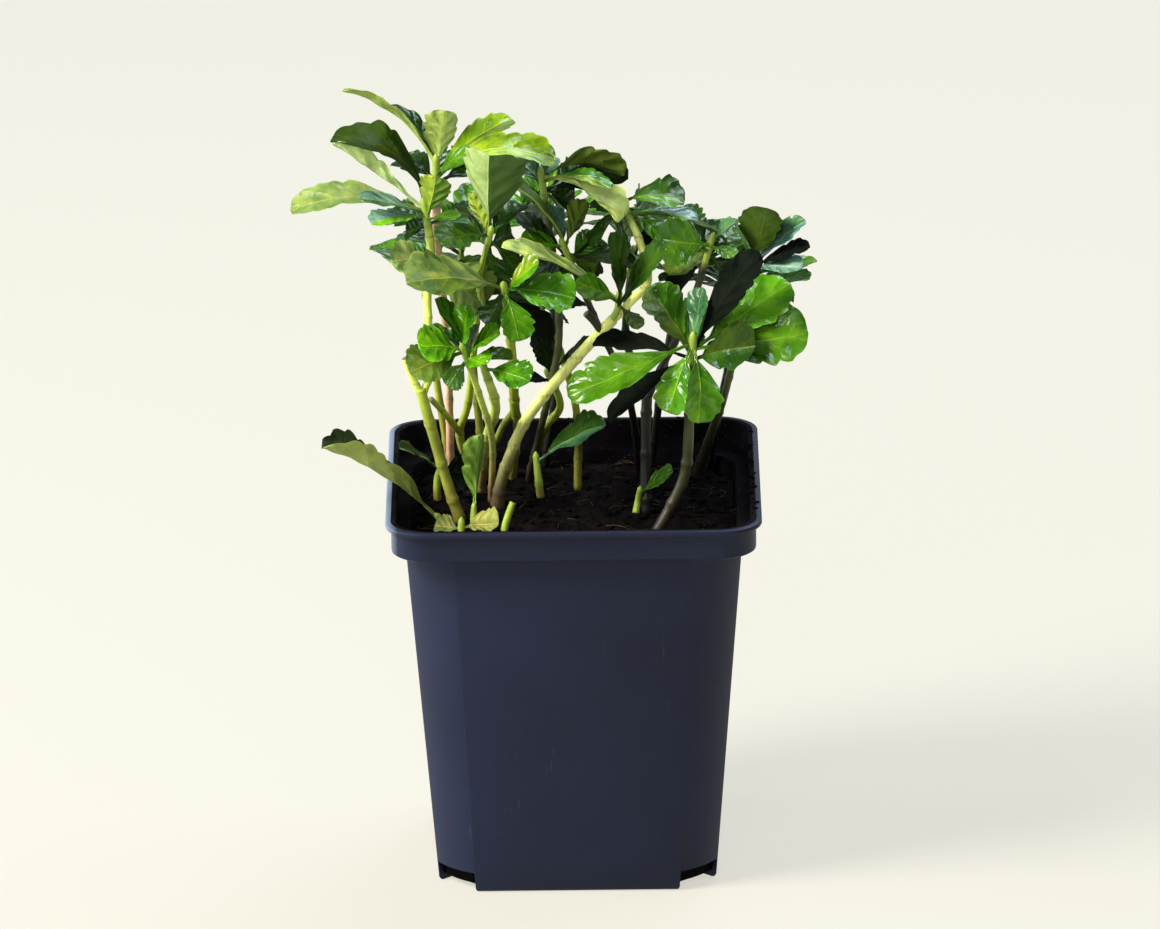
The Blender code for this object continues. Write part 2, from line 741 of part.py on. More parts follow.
def grow_limbs():
    """Solids of the limbs, the tips kept for the masses, and a search tree for each solid."""
    shoot_lengths = {mass.limb: mass.shoot for mass in MASSES.values()}
    tips, trees = {}, {}
    for name, limb in LIMBS.items():
        curve = limb_curve(limb.points)
        if limb.host:
            kin = [key for key in trees if key == limb.host or LIMBS[key].host == limb.host]
            curve = curve[clear_start(curve, [trees[key] for key in kin]):]
        tip_steps = round(shoot_lengths.get(name, 0) / CURVE_STEP)
        gap_steps = round(GAP / CURVE_STEP) + 1
        if tip_steps >= len(curve):
            tips[name] = curve
            continue
        if tip_steps:
            tips[name] = curve[-tip_steps:]
            curve = curve[:-tip_steps - gap_steps]
        rings = limb_rings(curve, level_foot=not limb.host)
        trees[name] = tree_of(rings)
        soften(add_object(name, to_mesh(swept(rings), name), "stem").data)
    return tips, trees


# Leaves


def leaf_outline(share):
    """Half width of a leaf at a share of its length, over its greatest half width."""
    blade = (share - STALK_SHARE) / (1 - STALK_SHARE)
    if not 0 < blade < 1:
        return 0.0
    widest = BASE_POWER / (BASE_POWER + TIP_POWER)
    return (blade / widest) ** BASE_POWER * ((1 - blade) / (1 - widest)) ** TIP_POWER


def midrib(reach, arch, share):
    """Place along and above the chord from root to tip, and the slope there, on a circular arch."""
    bend = radians(arch)
    radius = reach / (2 * sin(bend / 2))
    slope = bend * (0.5 - share)
    return radius * (sin(bend / 2) - sin(slope)), radius * (cos(slope) - cos(bend / 2)), slope


def leaf_rings(root, tip, leaf, grown=0.0):
    """Four-sided rings of a folded blade on its stalk, all round larger by what it is grown."""
    along = (tip - root).normalized()
    level = Vector((-along.y, along.x, 0)).normalized()
    lean = Matrix.Rotation(radians(leaf.roll), 3, along)
    left = lean @ level
    up = lean @ along.cross(level)
    rings = []
    for share in LEAF_STATIONS:
        forward, height, slope = midrib((tip - root).length, leaf.arch, share)
        middle = root + along * forward + up * height
        normal = up * cos(slope) - along * sin(slope)
        stalk = STALK_WIDTH if share < TIP_SHARE else TIP_WIDTH
        half = max(leaf.width * leaf_outline(share), stalk) / 2 + grown
        thick = (STALK_THICKNESS if share < STALK_SHARE else LEAF_THICKNESS) / 2 + grown
        side = left * half * cos(radians(leaf.fold))
        lift = normal * half * sin(radians(leaf.fold))
        rings.append([middle + side + lift, middle - normal * thick, middle - side + lift, middle + normal * thick])
    if grown:
        rings.append([point + along * grown for point in rings[-1]])
    return rings


def spare_leaves(name, mass):
    """Further leaves round a shoot, by a seeded rule, for the sides that face away."""
    chance = random.Random(name)
    low, high = mass.around
    start = chance.uniform(0, 360)
    leaves = []
    for order in range(mass.spare):
        turn = low + (start + order * GOLDEN_ANGLE) % 360 * (high - low) / 360
        rise = chance.uniform(*(LOW_RISE if order < LOW_SPARES else HIGH_RISE))
        reach = chance.uniform(*(LOW_REACH if order < LOW_SPARES else HIGH_REACH))
        level = reach * cos(radians(rise))
        tip = (level * cos(radians(turn)), level * sin(radians(turn)), reach * sin(radians(rise)))
        size = (reach * chance.uniform(*SPARE_WIDTH), chance.uniform(*SPARE_ARCH), chance.uniform(*SPARE_ROLL))
        leaves.append(Leaf(tip, *size, SPARE_FOLD))
    return leaves


def touches(rings, trees):
    tree = tree_of(rings)
    return any(tree.overlap(other) for other in trees)


def place_leaf(leaf, order, curve, others):
    """Rings of a leaf in the first place that is clear of all else, or None."""
    for slip in ROOT_SLIPS:
        depth = ROOT_TOP + max(0, order * ROOT_STEP - slip)
        root = curve[max(0, len(curve) - round(depth / CURVE_STEP))][0]
        for nudge in NUDGES:
            tip = curve[-1][0] + Vector(leaf.tip) + Vector((0, nudge, 0))
            if not touches(leaf_rings(root, tip, leaf, GAP), others):
                return leaf_rings(root, tip, leaf)
    return None


def shoot_rings(curve):
    """The shoot that carries a mass: its limb's tip with a small bud on it."""
    rings = limb_rings(curve)
    direction = direction_at(curve, len(curve) - 1)
    end, radius = curve[-1]
    bud = end + direction * radius * BUD_LENGTH
    rings.append(circle_points(bud, radius * BUD_TIP, direction, LIMB_SIDES))
    return rings


def grow_masses(tips, limb_trees):
    """Solids of every mass: its shoot, then its leaves in turn, each clear of the other nodes."""
    solids = {name: [shoot_rings(tips[mass.limb])] for name, mass in MASSES.items()}
    trees = {name: [tree_of(rings[0])] for name, rings in solids.items()}
    fixed = [tree_of(pot_rings()), tree_of(soil_rings()), *limb_trees.values()]
    for spare in (False, True):
        for name, mass in MASSES.items():
            leaves = spare_leaves(name, mass) if spare else mass.leaves
            others = fixed + [tree for key in trees if key != name for tree in trees[key]]
            for leaf in leaves:
                rings = place_leaf(leaf, len(solids[name]), tips[mass.limb], others)
                if rings:
                    solids[name].append(rings)
                    trees[name].append(tree_of(rings))
    return solids


def keep_outer_shell(mesh):
    """Fills hollows that the leaves seal and drops loose scraps, as both are shells of their own."""
    bm = bmesh.new()
    bm.from_mesh(mesh)
    bmesh.ops.triangulate(bm, faces=bm.faces)
    bmesh.ops.dissolve_degenerate(bm, edges=bm.edges, dist=SLIVER * MM)
    bmesh.ops.triangulate(bm, faces=bm.faces)
    waiting = set(bm.faces)
    shells = []
    while waiting:
        shell = {waiting.pop()}
        rim = set(shell)
        while rim:
            edges = {edge for face in rim for edge in face.edges if len(edge.link_faces) == 2}
            rim = {face for edge in edges for face in edge.link_faces} - shell
            shell |= rim
        waiting -= shell
        shells.append(shell)
    outer = max(shells, key=len)
    bmesh.ops.delete(bm, geom=[face for face in bm.faces if face not in outer], context="FACES")
    bm.to_mesh(mesh)
    bm.free()


def join_mass(name, solids):
    """One closed body from a shoot and its leaves, by a union on a collection."""
    leaves = bpy.data.collections.new(name)
    bpy.context.scene.collection.children.link(leaves)
    for order, rings in enumerate(solids[1:]):
        key = f"{name}_{order}"
        leaves.objects.link(bpy.data.objects.new(key, to_mesh(swept(rings), key)))
    obj = add_object(name, to_mesh(swept(solids[0]), name), "leaves")
    union = obj.modifiers.new("leaves", "BOOLEAN")
    union.operation = "UNION"
    union.operand_type = "COLLECTION"
    union.solver = "EXACT"
    union.collection = leaves
    joined = bpy.data.meshes.new_from_object(obj.evaluated_get(bpy.context.evaluated_depsgraph_get()))
    obj.modifiers.clear()
    keep_outer_shell(joined)
    obj.data = joined
    joined.materials.clear()
    joined.materials.append(bpy.data.materials[name])
    soften(joined)
    for leaf in list(leaves.objects):
        bpy.data.objects.remove(leaf, do_unlink=True)
    bpy.data.collections.remove(leaves)


def main():
    clear_scene()
    build_pot()
    build_soil()
    tips, trees = grow_limbs()
    for name, solids in grow_masses(tips, trees).items():
        join_mass(name, solids)


main()
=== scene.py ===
"""Looks of a potted Japanese pachysandra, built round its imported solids.

Each operator makes one group of pieces: the pot, its peat, the stems, the masses of leaves, and
the stage. Stems and leaves grow by the same rule as the solids that they stand for, only finer.
Lengths in the tables are in millimetres, and angles are in degrees.
"""

from collections import namedtuple
from math import cos, hypot, pi, radians, sin, sqrt
import random

import bmesh
import bpy
from mathutils import Matrix, Vector, noise
from mathutils.bvhtree import BVHTree


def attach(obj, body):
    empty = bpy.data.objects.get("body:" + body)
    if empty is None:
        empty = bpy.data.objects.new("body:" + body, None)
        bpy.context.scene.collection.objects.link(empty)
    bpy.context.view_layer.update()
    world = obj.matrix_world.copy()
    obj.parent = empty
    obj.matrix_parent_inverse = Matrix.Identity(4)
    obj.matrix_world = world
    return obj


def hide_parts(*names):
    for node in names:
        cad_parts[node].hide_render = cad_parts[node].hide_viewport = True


bl_info = {
    "name": "Potted pachysandra",
    "version": (1, 0, 0),
    "blender": (4, 5, 0),
    "location": "3D View > Sidebar > Plant",
    "description": "Builds a potted pachysandra round its packed solids",
    "category": "Add Mesh",
}

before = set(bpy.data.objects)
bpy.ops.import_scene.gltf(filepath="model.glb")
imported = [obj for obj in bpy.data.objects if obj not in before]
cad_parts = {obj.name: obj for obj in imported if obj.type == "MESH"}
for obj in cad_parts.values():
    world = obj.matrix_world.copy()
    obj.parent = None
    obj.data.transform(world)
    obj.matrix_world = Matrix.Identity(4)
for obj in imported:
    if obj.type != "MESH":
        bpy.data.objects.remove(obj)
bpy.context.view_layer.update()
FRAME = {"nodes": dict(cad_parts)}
BODY = "root"
MM = 0.001

# Sizes that the stems and leaves share with the solids
SOIL_TOP = 86.0
GAP = 0.3
FOOT = SOIL_TOP + GAP
CURVE_STEP = 0.25
SHOOT = 6.0
STALK_SHARE = 0.15
STALK_WIDTH = 1.1
MID_BLADE = 0.45
ROOT_TOP = 1.0
ROOT_STEP = 0.5
ROOT_SLIPS = (0, 2, -2)
NUDGES = (0, 3, -3, 6, -6)
GOLDEN_ANGLE = 137.5
LOW_SPARES = 6
LOW_RISE = (-5, 30)
LOW_REACH = (18, 24)
HIGH_RISE = (40, 65)
HIGH_REACH = (11, 15)
SPARE_WIDTH = (0.42, 0.5)
SPARE_ARCH = (20, 50)
SPARE_ROLL = (-15, 15)
SPARE_FOLD = 14

Limb = namedtuple("Limb", "host points")
Leaf = namedtuple("Leaf", "tip width arch roll fold tone")
Mass = namedtuple("Mass", "limb leaves spare around shoot", defaults=(0, (0, 360), SHOOT))

# Each limb's points are x, y, z and radius, from its foot or its host's middle line to its tip.
LIMBS = {
    "stem_left_front": Limb(None, ((-27.5, -6.5, FOOT, 1.5), (-30.5, -7, 96, 1.3), (-36.5, -9, 120, 1.3))),
    "bough_left_front": Limb(
        "stem_left_front",
        (
            (-36, -9, 118, 0.9),
            (-34, -7, 125, 0.9),
            (-34.5, -5, 141, 1.0),
            (-33.5, -4, 153, 1.0),
            (-35, -4, 165, 0.9),
        ),
    ),
    "stub_left_front": Limb(
        "stem_left_front",
        ((-36, -9, 118, 0.9), (-38, -9, 122, 0.9), (-40, -10, 128, 0.9)),
    ),
    "stem_left_back": Limb(
        None,
        (
            (-30, 28, FOOT, 1.0),
            (-30, 15, 117, 0.9),
            (-31, 6, 138, 1.0),
            (-32, 0, 153, 1.1),
            (-32, -2, 175, 0.9),
        ),
    ),
    "stem_left_middle": Limb(
        None,
        (
            (-24, 24, FOOT, 1.0),
            (-27.5, 16, 100, 1.0),
            (-25, 9, 112, 0.9),
            (-22, -6, 144, 0.9),
            (-19, -14, 161, 0.8),
        ),
    ),
    "bough_cross_left": Limb(
        "stem_left_middle",
        ((-27.5, 15, 101, 0.8), (-30.5, 4, 109, 0.8), (-34, -5, 116, 0.7)),
    ),
    "stem_slim_front": Limb(
        None,
        ((-20, 9, FOOT, 0.8), (-19.5, -1, 104, 0.8), (-22, -14, 119, 0.8), (-26, -24, 135, 0.8)),
    ),
    "stem_yellow_front": Limb(
        None,
        ((-22.5, 17, FOOT, 1.1), (-21, 6, 102, 1.1), (-18.5, -8, 115, 1.2), (-21, -24, 130, 0.9)),
    ),
    "stem_middle": Limb(
        None,
        (
            (-15, 26, FOOT, 1.1),
            (-13.5, 18, 101, 1.0),
            (-14, 8, 110, 1.2),
            (-14.5, -6, 129, 1.1),
            (-16, -20, 149, 0.9),
        ),
    ),
    "bough_middle_side": Limb(
        "stem_middle",
        ((-14, 10, 108.5, 0.8), (-17, 17, 102, 0.8), (-19, 22, 96, 0.8)),
    ),
    "stem_diagonal": Limb(
        None,
        (
            (-18.5, 3, FOOT, 1.7),
            (-16.5, 1, 96, 1.4),
            (-10.5, -3, 111, 1.3),
            (2, -5, 127, 1.3),
            (10, -6, 136, 1.3),
        ),
    ),
    "stub_diagonal": Limb(
        "stem_diagonal",
        ((7, -6, 133, 0.9), (5.5, -6.5, 135.5, 0.9), (3.5, -7, 138, 0.9)),
    ),
    "bough_diagonal": Limb(
        "stem_diagonal",
        ((9, -6, 135, 1.0), (14.5, -4, 140, 1.0), (18.5, 0, 144, 1.0), (16.5, 3, 153, 0.9), (12, 6, 163, 0.8)),
    ),
    "stalk_fork": Limb("stem_diagonal", ((9, -6, 135, 0.8), (11, -6.5, 138.5, 0.8), (11.5, -6, 142, 0.8))),
    "stem_slim_middle": Limb(
        None,
        ((-11, 24, FOOT, 0.8), (-4.5, 8, 118, 0.9), (-3, 6, 132, 0.9), (-4.5, 5, 150, 0.9), (-7, 4, 170, 0.8)),
    ),
    "stem_short_middle": Limb(
        None,
        ((-10.5, 30, FOOT, 1.0), (-7, 20, 100, 1.0), (-3, 14, 108, 0.9), (-6, 12, 117, 0.8)),
    ),
    "stem_slim_right": Limb(
        None,
        ((16, 28, FOOT, 0.9), (15, 18, 101, 0.9), (12.5, 8, 116, 0.8), (7, 4, 130, 0.8), (-2, -5, 155, 0.8)),
    ),
    "stem_right_fork": Limb(None, ((17.5, -3, FOOT, 1.7), (17.5, 0, 101, 1.2), (18, 2, 114, 1.3))),
    "bough_right_front": Limb(
        "stem_right_fork",
        ((18, 2, 113, 0.9), (21.5, 2, 121, 0.9), (28.5, 4, 135, 0.9), (34, 4, 153, 0.8)),
    ),
    "bough_right_back": Limb(
        "stem_right_fork",
        ((18, 2, 112, 0.9), (15, 8, 120, 0.9), (13, 16, 126, 0.9), (15, 27, 143, 0.8)),
    ),
    "stem_right_front": Limb(
        None,
        (
            (20, -18, FOOT, 1.4),
            (23.5, -17, 92.5, 1.3),
            (27, -17, 101, 1.3),
            (28, -19, 115, 1.2),
            (29, -22, 136, 1.0),
        ),
    ),
    "stem_far_right": Limb(
        None,
        ((30, 26, FOOT, 1.3), (34, 16, 101, 1.1), (37, 8, 113, 0.9), (40.5, 4, 130, 0.9), (44, 3, 148, 0.8)),
    ),
    "stub_cut_front": Limb(None, ((-17, -20, FOOT, 0.9), (-16, -19, 90, 0.9), (-14.5, -18, 94, 0.8))),
    "twig_left_low": Limb(
        "bough_left_front",
        ((-33.5, -4, 151, 0.8), (-33.5, -8, 152, 0.8), (-34, -12, 153, 0.8)),
    ),
    "stem_back_left": Limb(None, ((-22, 33, FOOT, 1.0), (-24, 29, 112, 0.9), (-27, 24, 147, 0.8))),
    "stem_back_middle": Limb(None, ((-7, 35, FOOT, 1.0), (-4, 30, 112, 0.9), (-6, 27, 151, 0.8))),
    "stem_back_right": Limb(None, ((19, 34, FOOT, 1.0), (22, 30, 110, 0.9), (27, 26, 139, 0.8))),
    "stem_back_far_right": Limb(None, ((33, 33, FOOT, 1.0), (37, 30, 108, 0.9), (42, 25, 133, 0.8))),
    "stem_back_far_left": Limb(None, ((-30, 33, FOOT, 1.0), (-33, 27, 110, 0.9), (-36, 20, 140, 0.8))),
    "stalk_old_leaf": Limb(None, ((-32, -11, FOOT, 1.0), (-32, -11, 87.3, 0.9), (-32.6, -11.6, 88.3, 0.8))),
    "stalk_upright_leaf": Limb(None, ((-24, -10, FOOT, 1.0), (-24, -10, 88, 0.9), (-24, -10, 90, 0.7))),
    "stalk_dry_leaves": Limb(None, ((-27, -17, FOOT, 0.9), (-27, -17, 87.5, 0.9), (-27, -17, 88.5, 0.8))),
    "stalk_low_right_leaf": Limb(None, ((-8, 9, FOOT, 1.0), (-8.5, 9, 91, 0.9), (-9, 10, 96, 0.8))),
    "stalk_low_left_leaves": Limb(None, ((-33, 8, FOOT, 1.0), (-33, 7, 91, 0.9), (-32, 6, 96, 0.8))),
    "stalk_seedling": Limb(None, ((15, -4, FOOT, 0.9), (15.5, -3, 89, 0.8), (16, -4, 92, 0.7))),
    "stem_inner_left": Limb(
        None,
        ((1, 18, FOOT, 1.0), (1, 16, 105, 0.9), (-3, 14, 122, 0.9), (-9, 11, 137, 0.8)),
    ),
}

# Each leaf's tip is right, back and up from the tip of the limb that carries its mass.
MASSES = {
    "leaves_top_left": Mass(
        "stem_left_back",
        (
            Leaf((-22, -3, 18.5), 8, 55, 19, 20, "lime"),
            Leaf((-10.5, 7, 12), 9, 45, 16, 14, "deep"),
            Leaf((3, 3, 11.5), 12, 15, -101, 24, "lime|glow"),
            Leaf((18.5, 8, 7.5), 11, 45, 12, 14, "olive|yellow"),
            Leaf((28.5, -3, 0), 13, 85, 20, 18, "lime|yellow"),
            Leaf((8.5, -7, 4), 7, 40, 42, 14, "mid"),
            Leaf((-2.5, 14, 4), 10, 30, 42, 14, "mid"),
            Leaf((10.5, 15, -2), 10, 30, 8, 14, "bright"),
            Leaf((-9, 13, -3.5), 10, 30, -19, 14, "deep"),
            Leaf((15, 8, -3.5), 9, 30, 30, 14, "deep"),
        ),
        around=(60, 150),
    ),
    "leaves_far_left": Mass(
        "bough_left_front",
        (
            Leaf((-22, 2, 15.5), 16, 105, -12, 14, "moss"),
            Leaf((-21.5, -3, 16), 9, 15, 32, 24, "deep|pale"),
            Leaf((-32, 0, -1.5), 12, 60, -19, 14, "soft"),
            Leaf((-15, -8, 3.5), 8, 20, -17, 14, "frost|blue"),
            Leaf((-12.5, -10, -2), 9, 25, -10, 14, "frost|fresh"),
            Leaf((3, -5, 8), 9, 10, -37, 14, "yellow|bright"),
            Leaf((8, -9, -1.5), 9, 30, 10, 14, "mid"),
            Leaf((-8.5, 8, -4.5), 9, 30, -12, 14, "deep"),
            Leaf((14.5, 6, -4.5), 9, 20, 29, 14, "blue"),
            Leaf((-4.5, 2, -8), 8, 20, -31, 14, "deep"),
            Leaf((-8, 14, -7), 9, 30, -45, 14, "mid"),
            Leaf((5, 14, -1), 9, 30, 10, 14, "deep"),
        ),
        around=(100, 150),
    ),
    "leaves_left_low": Mass(
        "twig_left_low",
        (
            Leaf((13, -4, -10.5), 18, 15, -83, 20, "olive"),
            Leaf((-9, -8, 2), 11, 30, -55, 20, "glow"),
            Leaf((-13, 4, 1.5), 7, 10, 12, 14, "blue"),
            Leaf((2, -9, -5), 8, 20, -4, 14, "mid"),
        ),
        shoot=20,
    ),
    "leaves_left_middle": Mass(
        "stem_left_middle",
        (
            Leaf((0, -8, 21), 19, 18, -20, 30, "soft|deep"),
            Leaf((-12, -8, -1), 13, 25, -16, 14, "deep"),
            Leaf((7.5, 8, 4), 11, 30, -2, 14, "deep"),
            Leaf((-5, 4, 8.5), 9, 20, 72, 14, "yellow"),
            Leaf((7.5, 2, -14), 9, 30, 37, 14, "deep"),
            Leaf((-1.5, -4, -16.5), 7, 25, 82, 25, "yellow"),
            Leaf((2, 5, -16.5), 9, 20, 102, 14, "deep"),
            Leaf((-8.5, 4, 5.5), 8, 30, -2, 14, "deep"),
            Leaf((-7.5, 14, -3), 10, 30, -21, 14, "mid"),
            Leaf((4.5, 13, -4.5), 10, 30, 70, 14, "deep"),
        ),
        around=(30, 150),
    ),
    "leaves_front_middle": Mass(
        "stem_middle",
        (
            Leaf((17, -3, -2.5), 13, 25, 36, 14, "bright"),
            Leaf((3.5, -6, -12), 10, 20, -2, 14, "bright"),
            Leaf((-4, 2, -10.5), 9, 20, -60, 14, "deep"),
            Leaf((8.5, -4, 7), 9, 20, 44, 14, "bright|yellow"),
            Leaf((-23, -3, 3.5), 19, 35, -20, 14, "soft|olive"),
            Leaf((11, 6, -14.5), 9, 20, 46, 14, "shadow"),
        ),
        around=(60, 170),
    ),
    "leaves_top_middle": Mass(
        "stem_slim_middle",
        (
            Leaf((18.5, -6, -11), 17, 70, -1, 24, "glow"),
            Leaf((20, 5, -2.5), 14, 80, -38, 14, "olive"),
            Leaf((21, 14, -6), 10, 20, -60, 14, "gloom"),
            Leaf((17, -8, -2), 7, 70, 10, 14, "yellow|bright"),
            Leaf((3.5, 4, 2.5), 7, 20, -7, 14, "frost|blue"),
            Leaf((-7, 8, 1.5), 9, 20, -20, 14, "blue"),
            Leaf((8, 6, -10), 10, 30, 53, 14, "deep"),
            Leaf((10.5, 16, -5), 11, 30, 38, 14, "deep"),
            Leaf((-5, 14, -6.5), 10, 30, -103, 14, "mid"),
            Leaf((5.5, 18, -12.5), 10, 30, 95, 14, "bright"),
        ),
        around=(80, 200),
    ),
    "leaves_top_right": Mass(
        "bough_diagonal",
        (
            Leaf((15.5, -2, -0.5), 13, 60, 20, 14, "mid|deep"),
            Leaf((2.5, -3, -10), 7, 20, -35, 14, "mid"),
            Leaf((-5.5, -8, -10), 11, 35, 34, 24, "deep"),
            Leaf((7, 6, -18), 10, 20, 66, 14, "shadow"),
            Leaf((9.5, 10, -7.5), 9, 20, 54, 14, "mid"),
            Leaf((12.5, -7, -11.5), 12, 25, 5, 14, "bright"),
            Leaf((18.5, -5, -5), 10, 35, -1, 14, "bright|frost"),
            Leaf((27, 0, -14.5), 6, 60, -4, 14, "olive"),
            Leaf((-5, 12, -2.5), 10, 30, -29, 14, "deep"),
            Leaf((5, 14, -5), 10, 30, 67, 14, "mid"),
            Leaf((10.5, 8, -12), 10, 30, 52, 14, "deep"),
        ),
        around=(30, 200),
    ),
    "leaves_right_high": Mass(
        "bough_right_front",
        (
            Leaf((5.5, 5, 4), 8, 20, 11, 14, "blue"),
            Leaf((-14, -9, 4.5), 13, 15, -78, 14, "fresh"),
            Leaf((5.5, -6, -3), 5, 10, 17, 14, "mid"),
            Leaf((-10.5, -12, -5.5), 9, 15, -7, 14, "olive"),
            Leaf((-10.5, 6, -17.5), 10, 20, -50, 14, "shadow"),
            Leaf((5.5, 6, -15), 10, 20, 75, 14, "deep"),
            Leaf((-7.5, 10, 3), 10, 20, -14, 14, "deep"),
            Leaf((-3, 14, 0), 10, 30, 3, 14, "deep"),
            Leaf((7, 15, -3), 10, 30, 23, 14, "mid"),
            Leaf((-3, 16, -11), 10, 30, -128, 14, "deep"),
        ),
        around=(60, 170),
    ),
    "leaves_far_right": Mass(
        "stem_far_right",
        (
            Leaf((3.5, 4, 11.5), 15, 15, 2, 14, "moss"),
            Leaf((12.5, 2, 9), 10, 15, 17, 14, "frost|blue"),
            Leaf((13.5, -2, 3.5), 8, 20, 12, 14, "shadow"),
            Leaf((11.5, -6, -0.5), 9, 20, 20, 14, "frost"),
            Leaf((9.5, 3, -11.5), 7, 20, 34, 14, "shadow"),
            Leaf((-3.5, 12, 5), 10, 30, 41, 14, "mid"),
            Leaf((5.5, 16, 1), 10, 30, -11, 14, "deep"),
            Leaf((11.5, 12, -4.5), 10, 30, 16, 14, "mid"),
            Leaf((-4.5, -4, -2.5), 10, 20, -16, 14, "deep"),
            Leaf((4, 6, -9.5), 10, 20, 100, 14, "deep"),
        ),
        around=(40, 170),
    ),
    "leaves_front_right": Mass(
        "stem_right_front",
        (
            Leaf((-30, -4, -13), 13, 20, -34, 14, "mid"),
            Leaf((-5.5, -4, -17.5), 11, 35, -16, 14, "fresh|bright"),
            Leaf((1, -7, -19), 12, 35, -27, 14, "fresh|bright"),
            Leaf((27.5, -2, 1.5), 18, 15, 44, 14, "mid"),
            Leaf((23.5, 6, 11.5), 14, 15, 36, 6, "bright"),
            Leaf((16, -2, 22), 10.5, 10, 59, 8, "shadow"),
            Leaf((-11, 2, 12), 14, 20, -34, 14, "mid|olive"),
            Leaf((2.5, 4, 11.5), 9, 20, -15, 14, "blue"),
            Leaf((-24, 6, -3), 12, 20, -8, 14, "shadow"),
            Leaf((15, -8, 0.5), 15, 20, 45, 14, "deep|moss"),
            Leaf((-20.5, 6, -22), 10, 20, -32, 14, "shadow"),
            Leaf((6.5, 12, 6), 11, 30, -31, 14, "deep"),
            Leaf((-3, 13, 1), 11, 30, 17, 14, "mid"),
            Leaf((13.5, 10, -6), 11, 30, 15, 14, "deep"),
        ),
    ),
    "leaves_front_low": Mass(
        "stem_slim_front",
        (
            Leaf((-10.5, -5, 1.5), 13, 25, -35, 14, "fresh|bright"),
            Leaf((-12.5, -6, -4.5), 13, 15, -37, 14, "olive"),
            Leaf((2, 2, 10), 11, 20, 2, 14, "bright"),
            Leaf((-6.5, 4, 11), 9, 20, -1, 14, "bright"),
            Leaf((9, -2, 4), 10, 25, 27, 14, "bright"),
            Leaf((5.5, -6, -2.5), 8, 20, 21, 14, "bright"),
            Leaf((12, 2, -3), 7, 20, 15, 14, "mid"),
            Leaf((-3.5, 2, -10.5), 7, 20, -64, 14, "mid"),
            Leaf((-8, 8, 3), 9, 30, 14, 14, "mid"),
            Leaf((4, 9, 4), 9, 30, -33, 14, "deep"),
        ),
    ),
    "leaves_front_small": Mass(
        "stem_yellow_front",
        (
            Leaf((11, -4, -1.5), 10, 25, 30, 14, "bright"),
        ),
        spare=1,
        around=(20, 160),
    ),
    "leaves_fork": Mass(
        "stalk_fork",
        (
            Leaf((-28, -13, 15.5), 9.5, 28, -14, 20, "glow"),
            Leaf((-10.5, -15, 7), 7, 10, -80, 14, "fresh"),
            Leaf((4.5, -5, -7), 7, 10, -2, 14, "olive"),
            Leaf((11.5, -8, 15.5), 8, 20, 62, 14, "deep"),
            Leaf((-2, -9, 18.5), 8, 25, -117, 14, "deep"),
        ),
        shoot=20,
    ),
    "leaves_inner": Mass(
        "stem_slim_right",
        (
            Leaf((-10, -1, 0.5), 10, 20, -27, 14, "bright"),
            Leaf((6.5, 8, 7.5), 10, 15, -82, 14, "olive"),
            Leaf((-4, 8, 7.5), 10, 15, 28, 14, "frost|deep"),
            Leaf((7, 2, -9.5), 10, 25, 34, 14, "olive"),
            Leaf((21, 6, 1.5), 10, 30, -32, 26, "mid"),
            Leaf((-8, 8, -11.5), 9, 20, -78, 14, "gloom"),
            Leaf((9, 8, -7.5), 10, 20, 63, 14, "gloom"),
            Leaf((18, 4, -7), 9, 20, 18, 14, "gloom"),
            Leaf((-11.5, 5, 5.5), 10, 20, -4, 14, "gloom"),
            Leaf((9, 10, -2), 9, 20, 31, 14, "mid"),
            Leaf((6.5, 11, -7), 9, 20, 96, 14, "deep"),
            Leaf((-19, -5, 19.5), 8, 55, -16, 14, "olive|lime"),
        ),
    ),
    "leaves_back_left": Mass("stem_back_left", (), spare=9),
    "leaves_back_middle": Mass("stem_back_middle", (), spare=10),
    "leaves_back_right": Mass("stem_back_right", (), spare=10),
    "leaves_back_far_right": Mass("stem_back_far_right", (), spare=8),
    "leaves_back_far_left": Mass("stem_back_far_left", (), spare=8, around=(-10, 130)),
    "leaves_back_inner": Mass("bough_right_back", (), spare=8),
    "leaf_old": Mass(
        "stalk_old_leaf",
        (
            Leaf((-27.5, -13, 22), 17, 25, 0, 38, "old"),
        ),
        shoot=20,
    ),
    "leaf_upright": Mass(
        "stalk_upright_leaf",
        (
            Leaf((2, 2, 18), 10, 10, -88, 30, "bright"),
        ),
        shoot=20,
    ),
    "leaves_dry": Mass(
        "stalk_dry_leaves",
        (
            Leaf((9, -1, 0), 13, 12, 12, 14, "dry"),
            Leaf((-6.5, 1, -1), 9, 12, -14, 14, "dry"),
        ),
        shoot=20,
    ),
    "leaf_low_right": Mass(
        "stalk_low_right_leaf",
        (
            Leaf((17, 4, 9), 14, 25, 15, 14, "blue|deep"),
        ),
        shoot=20,
    ),
    "leaves_low_left": Mass(
        "stalk_low_left_leaves",
        (
            Leaf((-10, -4, 5.5), 10, 15, -5, 14, "moss|olive"),
            Leaf((6, 4, -4), 10, 15, 60, 14, "shadow"),
        ),
        shoot=20,
    ),
    "seedling": Mass(
        "stalk_seedling",
        (
            Leaf((8, -4, 6), 8, 15, 30, 14, "mid"),
        ),
        shoot=20,
    ),
    "leaves_middle_low": Mass(
        "stem_short_middle",
        (
            Leaf((10.5, 2, 9.5), 8, 20, 10, 14, "gloom"),
            Leaf((-3, -3, 12), 11, 20, -83, 14, "gloom"),
            Leaf((9, 4, 4), 7, 20, 5, 14, "shadow"),
            Leaf((-5.5, -4, -0.5), 7, 20, -12, 14, "shadow"),
        ),
    ),
    "leaves_inner_left": Mass(
        "stem_inner_left",
        (
            Leaf((-6.5, -2, 9), 10, 25, -35, 14, "deep"),
